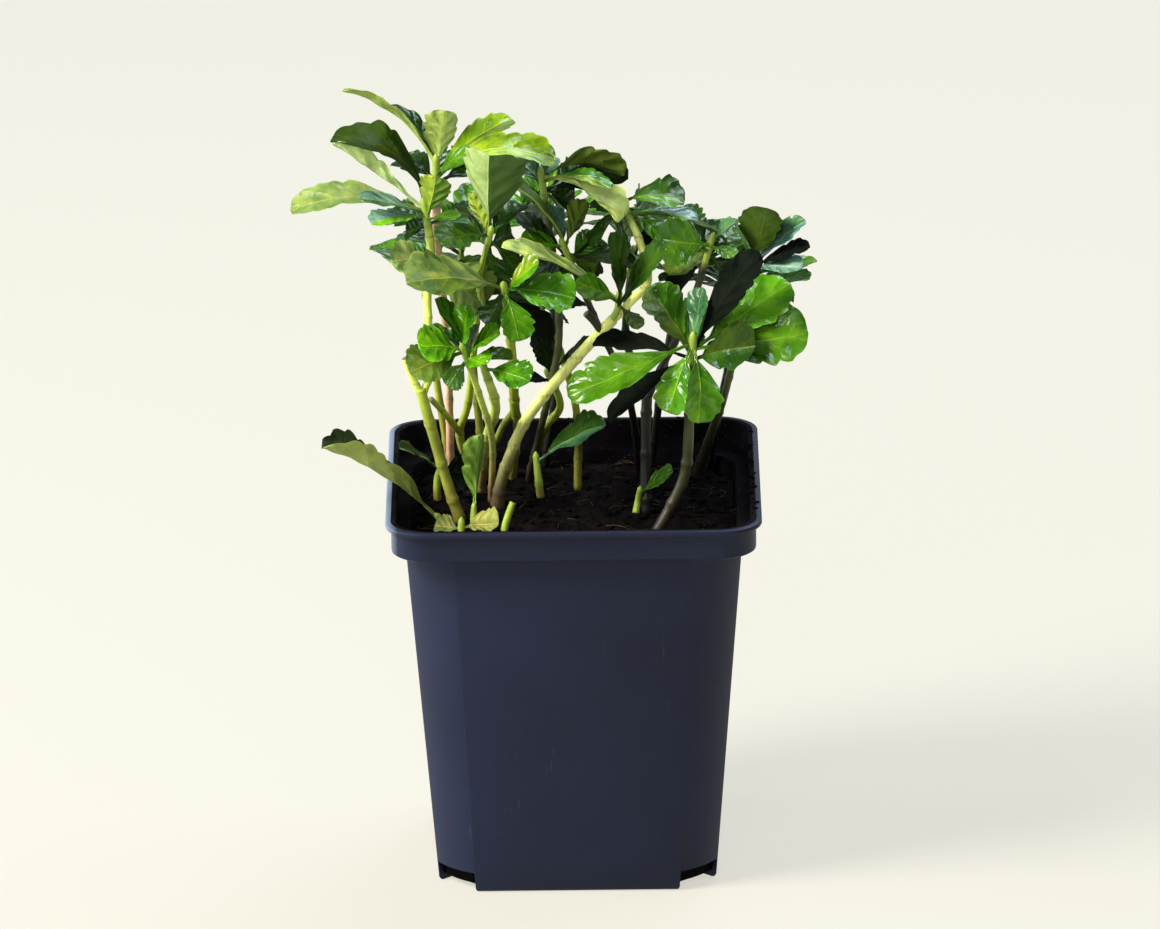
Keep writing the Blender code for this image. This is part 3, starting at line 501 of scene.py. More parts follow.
            Leaf((10, 2, 6), 10, 25, 9, 14, "deep"),
            Leaf((7.5, -3, -8), 9, 20, 9, 14, "gloom"),
            Leaf((-7, -4, -5.5), 10, 20, -6, 14, "deep"),
            Leaf((1.5, 4, 14.5), 10, 25, -40, 14, "mid"),
            Leaf((-8.5, 9, -2.5), 9, 25, -22, 14, "gloom"),
            Leaf((11, 10, -4.5), 9, 25, 25, 14, "shadow"),
            Leaf((2.5, 16, 1.5), 10, 30, -24, 14, "mid"),
            Leaf((-3.5, 14, -8), 9, 30, -119, 14, "deep"),
        ),
    ),
}
# Upper colour, lower colour, roughness and shine of each tone of leaf; some tones paint light or shade, as marked
TONES = {
    # Partly the leaf's own yellow-green, partly painted light shining through it
    "lime": ((0.32, 0.47, 0.045), (0.38, 0.51, 0.10), 0.36, 0.3),
    "yellow": ((0.22, 0.345, 0.004), (0.27, 0.37, 0.025), 0.30, 0.4),
    "pale": ((0.42, 0.60, 0.16), (0.48, 0.64, 0.22), 0.40, 0.3),
    # Painted light shining through a backlit leaf
    "glow": ((0.60, 0.76, 0.20), (0.66, 0.82, 0.24), 0.45, 0.2),
    "soft": ((0.205, 0.285, 0.060), (0.255, 0.34, 0.10), 0.45, 0.2),
    "olive": ((0.10, 0.17, 0.015), (0.11, 0.17, 0.018), 0.45, 0.25),
    "mid": ((0.062, 0.185, 0.004), (0.13, 0.23, 0.03), 0.25, 0.30),
    "bright": ((0.085, 0.285, 0.004), (0.18, 0.34, 0.04), 0.22, 0.36),
    "fresh": ((0.145, 0.400, 0.006), (0.22, 0.42, 0.04), 0.23, 0.38),
    "deep": ((0.026, 0.080, 0.005), (0.06, 0.12, 0.02), 0.28, 0.24),
    # Partly the leaf's own blue-green, partly a painted reflection of the sky in its gloss
    "blue": ((0.060, 0.175, 0.060), (0.17, 0.28, 0.16), 0.30, 0.45),
    # Painted reflection: a pale bluish-white tone for leaf faces that shine
    "frost": ((0.17, 0.35, 0.25), (0.34, 0.50, 0.36), 0.30, 0.6),
    "moss": ((0.026, 0.055, 0.004), (0.07, 0.11, 0.016), 0.55, 0.04),
    # Painted shade, a little lighter than shadow, for leaves deep in the crown
    "gloom": ((0.018, 0.040, 0.008), (0.022, 0.044, 0.010), 0.45, 0.14),
    "shadow": ((0.0055, 0.0085, 0.005), (0.008, 0.012, 0.007), 0.70, 0.03),
    "old": ((0.030, 0.055, 0.010), (0.30, 0.38, 0.07), 0.45, 0.3),
    "dry": ((0.31, 0.33, 0.08), (0.36, 0.35, 0.12), 0.50, 0.2),
}

LEAF_ROWS = 48
LEAF_COLUMNS = 12
TEETH_START = 0.5
BULGE = 0.45
BULGE_PITCH = 0.22
QUILT = 0.2
VEINS = 4.6  # side veins along a leaf, each side
VEIN_CLIMB = 0.24
VEIN_STAGGER = 0.03


def settings():
    return bpy.context.scene.plant_settings


# Material helpers


def new_material(name):
    made = bpy.data.materials.new(name)
    made.use_nodes = True
    nodes = made.node_tree.nodes
    return made, nodes, made.node_tree.links, nodes["Principled BSDF"]


def add_node(nodes, kind, **values):
    made = nodes.new(kind)
    for key, value in values.items():
        if key in made.inputs:
            made.inputs[key].default_value = value
        else:
            setattr(made, key, value)
    return made


def math_node(nodes, links, operation, first, second=None):
    made = nodes.new("ShaderNodeMath")
    made.operation = operation
    for socket, value in zip(made.inputs, (first, second)):
        if value is None:
            continue
        if isinstance(value, (int, float)):
            socket.default_value = value
        else:
            links.new(value, socket)
    return made.outputs[0]


def mix_colour(nodes, links, share, first, second):
    made = nodes.new("ShaderNodeMix")
    made.data_type = "RGBA"
    for key, value in ((0, share), (6, first), (7, second)):
        if isinstance(value, tuple):
            made.inputs[key].default_value = (*value, 1.0)
        elif isinstance(value, (int, float)):
            made.inputs[key].default_value = value
        else:
            links.new(value, made.inputs[key])
    return made.outputs[2]


def noise_value(nodes, links, source, scale, detail=4.0, roughness=0.55):
    made = add_node(nodes, "ShaderNodeTexNoise", Scale=scale, Detail=detail, Roughness=roughness)
    links.new(source, made.inputs["Vector"])
    return made.outputs["Fac"]


def ramp(nodes, links, source, low, high):
    made = nodes.new("ShaderNodeMapRange")
    made.inputs["From Min"].default_value = low
    made.inputs["From Max"].default_value = high
    links.new(source, made.inputs["Value"])
    return made.outputs["Result"]


def bump(nodes, links, height, strength, distance, normal=None):
    made = add_node(nodes, "ShaderNodeBump", Strength=strength, Distance=distance)
    links.new(height, made.inputs["Height"])
    if normal:
        links.new(normal, made.inputs["Normal"])
    return made.outputs["Normal"]


# Materials


FAINT_VEINS = ("soft", "pale", "glow", "lime")


def leaf_material(tone):
    """Glossy upper face, paler matt lower face, with a light midrib and side veins on both."""
    upper, lower, gloss, shine = TONES[tone]
    made, nodes, links, shader = new_material(f"leaf_{tone}")
    place = nodes.new("ShaderNodeTexCoord").outputs["Object"]
    uv = add_node(nodes, "ShaderNodeUVMap", uv_map="leaf")
    split = nodes.new("ShaderNodeSeparateXYZ")
    links.new(uv.outputs["UV"], split.inputs["Vector"])
    wander = math_node(nodes, links, "SUBTRACT", noise_value(nodes, links, place, 220.0, 2.0), 0.5)
    across = math_node(nodes, links, "ABSOLUTE", split.outputs["X"])
    bent = math_node(nodes, links, "ADD", split.outputs["Y"], math_node(nodes, links, "MULTIPLY", wander, 0.16))
    climb = math_node(nodes, links, "MULTIPLY", math_node(nodes, links, "POWER", across, 1.4), VEIN_CLIMB)
    stagger = math_node(nodes, links, "MULTIPLY", math_node(nodes, links, "SIGN", split.outputs["X"]), VEIN_STAGGER)
    slant = math_node(nodes, links, "ADD", math_node(nodes, links, "SUBTRACT", bent, climb), stagger)
    cycle = math_node(nodes, links, "FRACT", math_node(nodes, links, "MULTIPLY", slant, VEINS))
    away = math_node(nodes, links, "ABSOLUTE", math_node(nodes, links, "SUBTRACT", cycle, 0.5))
    taper = ramp(nodes, links, split.outputs["Y"], 1.0, 0.1)
    middle = math_node(nodes, links, "SUBTRACT", 1.0, ramp(nodes, links, across, 0.015, 0.055))
    middle = math_node(nodes, links, "MULTIPLY", middle, math_node(nodes, links, "ADD", math_node(nodes, links, "MULTIPLY", taper, 0.6), 0.4))
    fading = ramp(nodes, links, across, 0.95, 0.3)
    side = math_node(nodes, links, "MULTIPLY", ramp(nodes, links, away, 0.46, 0.5), math_node(nodes, links, "MULTIPLY", fading, 0.5))
    veins = math_node(nodes, links, "MAXIMUM", middle, side)
    quilt = math_node(nodes, links, "MULTIPLY", ramp(nodes, links, away, 0.5, 0.1), ramp(nodes, links, across, 0.0, 0.35))
    patches = noise_value(nodes, links, place, 75.0, 3.0)
    mottle = ramp(nodes, links, math_node(nodes, links, "ADD", patches, math_node(nodes, links, "MULTIPLY", wander, 0.5)), 0.36, 0.64)
    darker = tuple(channel * factor for channel, factor in zip(upper, (0.38, 0.50, 0.50)))
    lighter = tuple(channel * factor for channel, factor in zip(upper, (1.75, 1.35, 1.2)))
    vein_top = tuple(min(1.0, channel * factor) for channel, factor in zip(lighter, (1.5, 1.3, 1.3)))
    inner = math_node(nodes, links, "MULTIPLY", ramp(nodes, links, across, 0.75, 0.05), ramp(nodes, links, wander, -0.16, 0.10))
    top = mix_colour(nodes, links, math_node(nodes, links, "MULTIPLY", inner, 0.6), upper, lighter)
    top = mix_colour(nodes, links, mottle, darker, top)
    # Paler band along the margin: partly the margin's own paler colour, partly a painted rim highlight
    edge = math_node(nodes, links, "MULTIPLY", ramp(nodes, links, across, 0.93, 0.99), 0.5)
    top = mix_colour(nodes, links, edge, top, lighter)
    top = mix_colour(nodes, links, math_node(nodes, links, "MULTIPLY", veins, 0.5 if tone in FAINT_VEINS else 0.8), top, vein_top)
    vein_under = tuple(min(1.0, channel * 1.6) for channel in lower)
    under = mix_colour(nodes, links, mottle, tuple(channel * 0.72 for channel in lower), lower)
    under = mix_colour(nodes, links, math_node(nodes, links, "MULTIPLY", veins, 0.85), under, vein_under)
    facing = nodes.new("ShaderNodeVertexColor")
    facing.layer_name = "face_side"
    links.new(mix_colour(nodes, links, facing.outputs["Color"], under, top), shader.inputs["Base Color"])
    dull = math_node(nodes, links, "MULTIPLY", math_node(nodes, links, "SUBTRACT", 1.0, facing.outputs["Color"]), 0.22)
    patchy = math_node(nodes, links, "MULTIPLY", ramp(nodes, links, wander, -0.1, 0.12), 0.14)
    rough = math_node(nodes, links, "ADD", math_node(nodes, links, "ADD", gloss - 0.06, dull), patchy)
    links.new(rough, shader.inputs["Roughness"])
    shader.inputs["Specular IOR Level"].default_value = settings().leaf_gloss * shine
    height = math_node(nodes, links, "SUBTRACT", math_node(nodes, links, "ADD", quilt, math_node(nodes, links, "MULTIPLY", mottle, 0.5)), math_node(nodes, links, "MULTIPLY", middle, 0.6))
    links.new(bump(nodes, links, height, 0.6, 0.0007), shader.inputs["Normal"])
    return made


FRESH_SHOOT = (0.30, 0.42, 0.06)

# Foot colour and upper colour of each kind of stem
SKINS = {
    "green": ((0.24, 0.23, 0.04), (0.36, 0.44, 0.04)),
    "fresh": ((0.24, 0.33, 0.03), (0.40, 0.52, 0.06)),
    "lime": ((0.26, 0.20, 0.07), (0.64, 0.78, 0.14)),
    "tan": ((0.12, 0.080, 0.045), (0.80, 0.92, 0.20)),
    "cream": ((0.12, 0.085, 0.045), (0.92, 1.00, 0.28)),
    "red": ((0.66, 0.38, 0.25), (0.72, 0.46, 0.26)),
    # Near black: painted shade on stems that stand in the shade of the leaves
    "dark": ((0.010, 0.009, 0.008), (0.026, 0.034, 0.013)),
    "brown": ((0.035, 0.028, 0.016), (0.09, 0.10, 0.03)),
}
LIMB_SKIN = {
    "stub_cut_front": "fresh",
    "stub_left_front": "lime",
    "stem_diagonal": "cream",
    "bough_diagonal": "cream",
    "stalk_fork": "lime",
    "stem_yellow_front": "lime",
    "stem_slim_front": "lime",
    "bough_left_front": "lime",
    "twig_left_low": "lime",
    "stem_left_back": "red",
    "stem_right_fork": "dark",
    "bough_right_front": "dark",
    "bough_right_back": "dark",
    "stub_diagonal": "dark",
    "stem_slim_middle": "brown",
    "stem_slim_right": "dark",
    "stem_right_front": "brown",
    "stem_far_right": "brown",
    "stem_back_middle": "dark",
    "stem_back_right": "dark",
    "stem_back_far_right": "dark",
}


def stem_material(kind):
    """Duller at the foot and greener above, with lengthwise streaks and small brown scars."""
    low, high = SKINS[kind]
    made, nodes, links, shader = new_material(f"stem_{kind}")
    place = nodes.new("ShaderNodeTexCoord").outputs["Object"]
    split = nodes.new("ShaderNodeSeparateXYZ")
    links.new(place, split.inputs["Vector"])
    rise = ramp(nodes, links, split.outputs["Z"], 0.091, 0.140 if kind == "tan" else 0.116)
    patch = ramp(nodes, links, noise_value(nodes, links, place, 90.0, 3.0), 0.35, 0.65)
    upper = mix_colour(nodes, links, patch, tuple(c * 0.7 for c in high), tuple(c * 1.1 for c in high))
    foot = mix_colour(nodes, links, patch, tuple(c * 0.6 for c in low), tuple(c * 1.25 for c in low))
    colour = mix_colour(nodes, links, rise, foot, upper)
    marks = nodes.new("ShaderNodeVertexColor")
    marks.layer_name = "marks"
    mark = nodes.new("ShaderNodeSeparateColor")
    links.new(marks.outputs["Color"], mark.inputs["Color"])
    colour = mix_colour(nodes, links, mark.outputs["Green"], colour, FRESH_SHOOT)
    scar = math_node(nodes, links, "MULTIPLY", mark.outputs["Red"], 0.6)
    colour = mix_colour(nodes, links, scar, colour, tuple(c * 0.3 for c in low))
    stretch = add_node(nodes, "ShaderNodeMapping", Scale=(1.0, 1.0, 0.12))
    links.new(place, stretch.inputs["Vector"])
    streak = noise_value(nodes, links, stretch.outputs["Vector"], 1600.0, 3.0)
    scars = math_node(nodes, links, "MULTIPLY", ramp(nodes, links, streak, 0.52, 0.75), 0.4)
    links.new(mix_colour(nodes, links, scars, colour, tuple(c * 0.35 for c in low)), shader.inputs["Base Color"])
    shader.inputs["Roughness"].default_value = 0.42
    shader.inputs["Specular IOR Level"].default_value = 0.35
    links.new(bump(nodes, links, streak, 0.5, 0.0002), shader.inputs["Normal"])
    return made


def cut_material():
    """Dry, darkened wood of a cut end."""
    made, nodes, links, shader = new_material("stem_cut")
    place = nodes.new("ShaderNodeTexCoord").outputs["Object"]
    grain = noise_value(nodes, links, place, 2500.0)
    links.new(mix_colour(nodes, links, grain, (0.05, 0.035, 0.02), (0.24, 0.19, 0.10)), shader.inputs["Base Color"])
    shader.inputs["Roughness"].default_value = 0.85
    return made


def pot_material():
    """Moulded dark blue-grey plastic with fine specks and short scuffs, and a painted highlight along the left side of
    its band and lip.
    """
    made, nodes, links, shader = new_material("pot_plastic")
    place = nodes.new("ShaderNodeTexCoord").outputs["Object"]
    cloud = noise_value(nodes, links, place, 28.0, 6.0)
    base = tuple(settings().pot_colour)
    colour = mix_colour(nodes, links, ramp(nodes, links, cloud, 0.3, 0.7), tuple(c * 0.85 for c in base), tuple(c * 1.2 for c in base))
    speck = ramp(nodes, links, noise_value(nodes, links, place, 2600.0, 2.0), 0.66, 0.74)
    colour = mix_colour(nodes, links, math_node(nodes, links, "MULTIPLY", speck, 0.35), colour, (0.05, 0.055, 0.075))
    stretch = add_node(nodes, "ShaderNodeMapping", Scale=(1.0, 1.0, 0.06), Rotation=(0.2, 0.5, 0.1))
    links.new(place, stretch.inputs["Vector"])
    scuff = ramp(nodes, links, noise_value(nodes, links, stretch.outputs["Vector"], 700.0, 2.0), 0.70, 0.76)
    colour = mix_colour(nodes, links, math_node(nodes, links, "MULTIPLY", scuff, 0.25), colour, (0.06, 0.065, 0.085))
    across = nodes.new("ShaderNodeSeparateXYZ")
    links.new(place, across.inputs["Vector"])
    # Painted highlight: the outermost left side of the band and lip is lightened toward pale blue-grey
    painted_left_highlight = math_node(nodes, links, "MULTIPLY", ramp(nodes, links, across.outputs["X"], -0.0420, -0.0452), 0.9)
    colour = mix_colour(nodes, links, painted_left_highlight, colour, (0.20, 0.26, 0.36))
    links.new(colour, shader.inputs["Base Color"])
    rough = math_node(nodes, links, "ADD", 0.42, math_node(nodes, links, "MULTIPLY", cloud, 0.16))
    links.new(rough, shader.inputs["Roughness"])
    shader.inputs["Specular IOR Level"].default_value = 0.2
    grain = noise_value(nodes, links, place, 1800.0, 3.0)
    links.new(bump(nodes, links, grain, 0.12, 0.0002), shader.inputs["Normal"])
    return made


def pot_inside_material():
    """The same plastic on the inside, blackened partly by peat and partly by painted shade of the pot's hollow, with
    pale grains stuck to it.
    """
    made, nodes, links, shader = new_material("pot_inside")
    place = nodes.new("ShaderNodeTexCoord").outputs["Object"]
    smear = ramp(nodes, links, noise_value(nodes, links, place, 160.0, 6.0), 0.35, 0.7)
    colour = mix_colour(nodes, links, smear, (0.0024, 0.0016, 0.0022), (0.0060, 0.0050, 0.0075))
    grain = ramp(nodes, links, noise_value(nodes, links, place, 1500.0, 2.0), 0.69, 0.74)
    colour = mix_colour(nodes, links, math_node(nodes, links, "MULTIPLY", grain, 0.5), colour, (0.10, 0.09, 0.09))
    links.new(colour, shader.inputs["Base Color"])
    shader.inputs["Roughness"].default_value = 0.9
    shader.inputs["Specular IOR Level"].default_value = 0.03
    links.new(bump(nodes, links, smear, 0.4, 0.0003), shader.inputs["Normal"])
    return made


def peat_material(name, dark, light):
    made, nodes, links, shader = new_material(name)
    shader.inputs["Specular IOR Level"].default_value = 0.02
    place = nodes.new("ShaderNodeTexCoord").outputs["Object"]
    clump = ramp(nodes, links, noise_value(nodes, links, place, 260.0, 8.0), 0.35, 0.75)
    links.new(mix_colour(nodes, links, clump, dark, light), shader.inputs["Base Color"])
    shader.inputs["Roughness"].default_value = 0.95
    grain = noise_value(nodes, links, place, 1500.0, 6.0)
    links.new(bump(nodes, links, grain, 0.8, 0.0006), shader.inputs["Normal"])
    return made


# Shape helpers


def add_piece(name, bm, materials, slot, *nodes):
    mesh = bpy.data.meshes.new(name)
    bm.to_mesh(mesh)
    bm.free()
    for each in materials:
        mesh.materials.append(each)
    mesh.shade_smooth()
    obj = bpy.data.objects.new(name, mesh)
    bpy.context.scene.collection.objects.link(obj)
    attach(obj, BODY)
    if nodes:
        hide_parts(*nodes)
    return obj


def sweep(bm, rings, material=0):
    """Closed solid on a first face that is extruded from ring to ring of points in millimetres."""
    first = [bm.verts.new(point * MM) for point in rings[0]]
    start = len(bm.faces)
    cap = bm.faces.new(first)
    made = []
    for ring in rings[1:]:
        grown = bmesh.ops.extrude_discrete_faces(bm, faces=[cap])
        cap = grown["faces"][0]
        for vert, point in zip(cap.verts, ring):
            vert.co = point * MM
    made.append(bm.faces.new(first[::-1]))
    made.append(cap)
    return made


def limb_curve(points):
    knots = [Vector(point) for point in points]
    knots = [2 * knots[0] - knots[1], *knots, 2 * knots[-1] - knots[-2]]
    curve = [knots[1]]
    for a, b, c, d in zip(knots, knots[1:], knots[2:], knots[3:]):
        steps = max(2, round((c - b).length / CURVE_STEP))
        for step in range(1, steps + 1):
            t = step / steps
            even = 2 * b + (c - a) * t
            bend = (2 * a - 5 * b + 4 * c - d) * t**2 + (3 * b - a - 3 * c + d) * t**3
            curve.append((even + bend) / 2)
    return [(point.to_3d(), point.w) for point in curve]


def circle_points(middle, radius, direction, sides):
    side = direction.cross(Vector((0, 1, 0))).normalized()
    other = direction.cross(side).normalized()
    angles = [2 * pi * step / sides for step in range(sides)]
    return [middle + radius * (cos(a) * side + sin(a) * other) for a in angles]


def direction_at(curve, index):
    before = curve[max(0, index - 1)][0]
    after = curve[min(len(curve) - 1, index + 1)][0]
    return (after - before).normalized()


# Pot and peat

POT_HEIGHT = 95.0
FOOT_WIDTH = 67.0
BODY_TOP_WIDTH = 80.8
BAND_HEIGHT = 7.6
RIM_WIDTH = 90.0
LIP_OVERHANG = 1.4
POT_WALL = 1.2
POT_FLOOR = 1.5
FOOT_CORNER = 9.3
BODY_TOP_CORNER = 12.2
RIM_CORNER = 9.0
NOTCH_HEIGHT = 5.0
NOTCH_DEPTH = 4.0
NOTCH_WIDTH = 12.4
CORNER_STEPS = 12


def corner_share(step, roundness):
    """Even steps round a corner, drawn toward its two ends where it is a chamfer."""
    share = step / CORNER_STEPS
    eased = share * share * (3 - 2 * share)
    return share * roundness + eased * (1 - roundness)


def pot_ring(width, corner, roundness, height):
    half = width / 2
    points = []
    for quarter in range(4):
        turn = Matrix.Rotation(quarter * pi / 2, 3, "Z")
        for step in range(CORNER_STEPS + 1):
            share = corner_share(step, roundness)
            angle = share * pi / 2
            chamfer = Vector((half - corner * share, half - corner * (1 - share), height))
            arc = Vector((half - corner + corner * cos(angle), half - corner + corner * sin(angle), height))
            points.append(turn @ chamfer.lerp(arc, roundness))
    return points


def inset_corner(corner, inset):
    return corner - (2 - sqrt(2)) * inset


def body_ring(height, inset=0.0, roundness=0.42):
    share = height / (POT_HEIGHT - BAND_HEIGHT)
    width = FOOT_WIDTH + (BODY_TOP_WIDTH - FOOT_WIDTH) * share
    corner = FOOT_CORNER + (BODY_TOP_CORNER - FOOT_CORNER) * share
    return pot_ring(width - 2 * inset, inset_corner(corner, inset), roundness, height)


def band_ring(height, inset=0.0):
    width = RIM_WIDTH - 2 * LIP_OVERHANG - 2 * inset
    return pot_ring(width, inset_corner(RIM_CORNER, inset), 0.95, height)


def within_band(place):
    """Whether a spot on top of the lip lies over the band and not over its overhang."""
    straight = RIM_WIDTH / 2 - LIP_OVERHANG - RIM_CORNER
    return hypot(*(max(abs(value) / MM - straight, 0) for value in (place.x, place.y))) < RIM_CORNER


def build_pot():
    band = POT_HEIGHT - BAND_HEIGHT
    lip = POT_HEIGHT - 1.4
    rings = [
        body_ring(0, 1.0), body_ring(0.25, 0.35), body_ring(0.9),
        *[body_ring(height) for height in (8, 30, 60, 84)],
        body_ring(band - 0.6), body_ring(band - 0.25, -0.2), band_ring(band - 0.05, 0.5),
        band_ring(band + 0.25, 0.1), band_ring(band + 0.8), band_ring(lip - 0.5), band_ring(lip - 0.2, -0.15),
        band_ring(lip, -0.9), band_ring(lip + 0.15, -1.25), band_ring(lip + 0.45, -LIP_OVERHANG),
        band_ring(POT_HEIGHT - 0.4, -LIP_OVERHANG), band_ring(POT_HEIGHT - 0.12, -1.28),
        band_ring(POT_HEIGHT, -1.0), band_ring(POT_HEIGHT, -0.1), band_ring(POT_HEIGHT, 0.8),
        band_ring(POT_HEIGHT - 0.1, 1.1),
        band_ring(POT_HEIGHT - 0.45, POT_WALL), band_ring(band + POT_WALL + 0.4, POT_WALL),
        band_ring(band + POT_WALL, POT_WALL + 0.2), body_ring(band + POT_WALL - 0.2, POT_WALL - 0.3),
        body_ring(band + POT_WALL - 0.9, POT_WALL), body_ring(SOIL_TOP - 3, POT_WALL),
        body_ring(POT_FLOOR, POT_WALL),
    ]
    bm = bmesh.new()
    sweep(bm, rings)
    bmesh.ops.recalc_face_normals(bm, faces=bm.faces)
    for face in bm.faces:
        middle = face.calc_center_median()
        inward = face.normal.x * middle.x + face.normal.y * middle.y < 0
        height = middle.z / MM
        face.material_index = int(within_band(middle) if height > POT_HEIGHT - 0.5 else inward and height > POT_FLOOR)
    pot = add_piece("pot_shell", bm, [pot_material(), pot_inside_material()], "pot", "pot")
    cut_notches(pot)
    pot.data.set_sharp_from_angle(angle=radians(40))
    return pot


def cut_notches(pot):
    half_foot = FOOT_WIDTH / 2
    plane = (2 * half_foot - FOOT_CORNER) / sqrt(2)
    depth = 4 * NOTCH_DEPTH
    bm = bmesh.new()
    for quarter in range(4):
        made = bmesh.ops.create_cube(bm, size=MM)["verts"]
        bmesh.ops.scale(bm, vec=(depth, NOTCH_WIDTH, 2 * NOTCH_HEIGHT), verts=made)
        bmesh.ops.translate(bm, vec=((plane - NOTCH_DEPTH + depth / 2) * MM, 0, 0), verts=made)
        bmesh.ops.rotate(bm, verts=made, matrix=Matrix.Rotation(radians(45 + 90 * quarter), 3, "Z"))
    mesh = bpy.data.meshes.new("notches")
    bm.to_mesh(mesh)
    bm.free()
    cutter = bpy.data.objects.new("notches", mesh)
    bpy.context.scene.collection.objects.link(cutter)
    cut = pot.modifiers.new("notches", "BOOLEAN")
    cut.operation = "DIFFERENCE"
    cut.solver = "EXACT"
    cut.object = cutter
    bpy.context.view_layer.update()
    cut_mesh = bpy.data.meshes.new_from_object(pot.evaluated_get(bpy.context.evaluated_depsgraph_get()))
    pot.modifiers.clear()
    pot.data = cut_mesh
    bpy.data.objects.remove(cutter, do_unlink=True)


def peat_height(x, y):
    """Lumpy top of the peat, in millimetres above its level."""
    place = Vector((x, y, 3.0))
    lumps = noise.noise(place * 0.11) * 1.1 + noise.noise(place * 0.33) * 0.8 + noise.noise(place * 0.9) * 0.45
    return max(-1.2, lumps)


def add_crumb(bm, chance, x, y, foot, size):
    made = bmesh.ops.create_icosphere(bm, subdivisions=1, radius=size * MM)["verts"]
    stretch = Vector((chance.uniform(0.6, 1.5), chance.uniform(0.6, 1.5), chance.uniform(0.4, 0.9)))
    for vert in made:
        vert.co *= 1 + 0.8 * noise.noise(vert.co / MM * 1.9 / size + Vector((x, y, 0)))
        vert.co = vert.co * stretch + Vector((x, y, foot + size * 0.3)) * MM


def build_peat():
    """Lumpy block of peat with crumbs and fibres on it."""
    chance = random.Random("peat")
    bm = bmesh.new()
    inset = POT_WALL + GAP
    faces = sweep(bm, [body_ring(POT_FLOOR + GAP, inset), body_ring(SOIL_TOP - 2, inset)])
    bmesh.ops.delete(bm, geom=[faces[-1]], context="FACES_ONLY")
    rim = [edge for edge in bm.edges if edge.is_boundary]
    half = BODY_TOP_WIDTH / 2 - POT_WALL - 0.4
    steps = 150
    top = bmesh.ops.create_grid(bm, x_segments=steps, y_segments=steps, size=half * MM)["verts"]
    corner_limit = 2 * half - BODY_TOP_CORNER
    outside = []
    for vert in top:
        x, y = vert.co.x / MM, vert.co.y / MM
        if abs(x) + abs(y) > corner_limit:
            outside.append(vert)
        vert.co.z = (SOIL_TOP - 0.6 + peat_height(x, y)) * MM
    bmesh.ops.delete(bm, geom=outside, context="VERTS")
    bmesh.ops.holes_fill(bm, edges=rim, sides=0)
    bmesh.ops.recalc_face_normals(bm, faces=bm.faces)
    soil = peat_material("peat", (0.0022, 0.0017, 0.0018), (0.008, 0.0056, 0.0058))
    peat = add_piece("peat", bm, [soil], "soil", "soil")
    crumbs = bmesh.new()
    for _ in range(settings().crumbs):
        x, y = chance.uniform(-half, half), chance.uniform(-half, half)
        if abs(x) + abs(y) > corner_limit - 2:
            continue
        add_crumb(crumbs, chance, x, y, SOIL_TOP - 0.6 + peat_height(x, y), 0.2 + 1.2 * chance.random() ** 4)
    for _ in range(settings().crumbs // 9):
        along, edge = chance.uniform(-33, 33), RIM_WIDTH / 2 - LIP_OVERHANG - chance.uniform(-0.3, 1.0)
        x, y = (edge, along) if chance.random() < 0.6 else (along, edge)
        add_crumb(crumbs, chance, x, y, POT_HEIGHT - 0.05, 0.15 + 0.5 * chance.random() ** 2)
    add_piece("peat_crumbs", crumbs, [soil], "soil")
    fibres = bmesh.new()
    for _ in range(settings().crumbs // 8):
        x, y = chance.uniform(-half, half), chance.uniform(-half, half)
        if abs(x) + abs(y) > corner_limit - 6:
            continue
        length = chance.uniform(2, 7)
        turn = chance.uniform(0, 2 * pi)
        lift = SOIL_TOP + 0.1 + peat_height(x, y)
        rings = []
        for share in (0, 0.35, 0.7, 1):
            bent = turn + share * chance.uniform(-0.8, 0.8)
            spot = Vector((x + cos(bent) * length * share, y + sin(bent) * length * share, lift + 0.4 * sin(pi * share)))
            rings.append(circle_points(spot, 0.12, Vector((cos(bent), sin(bent), 0.1)).normalized(), 4))
        sweep(fibres, rings)
    bmesh.ops.recalc_face_normals(fibres, faces=fibres.faces)
    add_piece("peat_fibres", fibres, [peat_material("peat_fibre", (0.02, 0.014, 0.010), (0.07, 0.05, 0.035))], "soil")
    return peat


# Stems


def leaf_scars(curve, name):
    """How far along a stem its leaf scars are."""
    chance = random.Random(name)
    scars = []
    reach = chance.uniform(3, 9)
    while reach < len(curve) * CURVE_STEP - 3:
        scars.append(reach)
        reach += chance.uniform(6, 13)
    return scars


def mark_stem(bm, curve, scars, carries):
    """Colour layer with the scars in red and, where leaves are carried, the fresh tip in green."""
    layer = bm.loops.layers.color.new("marks")
    heights = [curve[round(scar / CURVE_STEP)][0].z for scar in scars]
    tip = curve[-1][0]
    for face in bm.faces:
        for loop in face.loops:
            place = loop.vert.co / MM
            scar = sum(2.718 ** (-((place.z - height - 0.35) / 0.3) ** 2) for height in heights)
            fresh = max(0.0, min(1.0, (SHOOT + 3 - (place - tip).length) / 3)) if carries else 0.0
            loop[layer] = (min(1.0, scar), fresh, 0.0, 1.0)


def stem_rings(curve, scars):
    """Fine rings with a swelling at each leaf scar."""
    total = len(curve) * CURVE_STEP
    rings = []
    stride = 2
    for index in [*range(0, len(curve) - 1, stride), len(curve) - 1]:
        point, radius = curve[index]
        here = index * CURVE_STEP
        swell = sum(0.17 * 2.718 ** (-((here - scar) / 0.8) ** 2) for scar in scars)
        wave = 0.05 * noise.noise(Vector((here * 0.4, total, 0)))
        direction = direction_at(curve, index)
        ring = circle_points(point, radius * (1 + swell + wave), direction, 14)
        middle = point
        ring = [middle + (p - middle) * (1 + 0.035 * cos(5 * k * 2 * pi / 14)) for k, p in enumerate(ring)]
        rings.append(ring)
    return rings


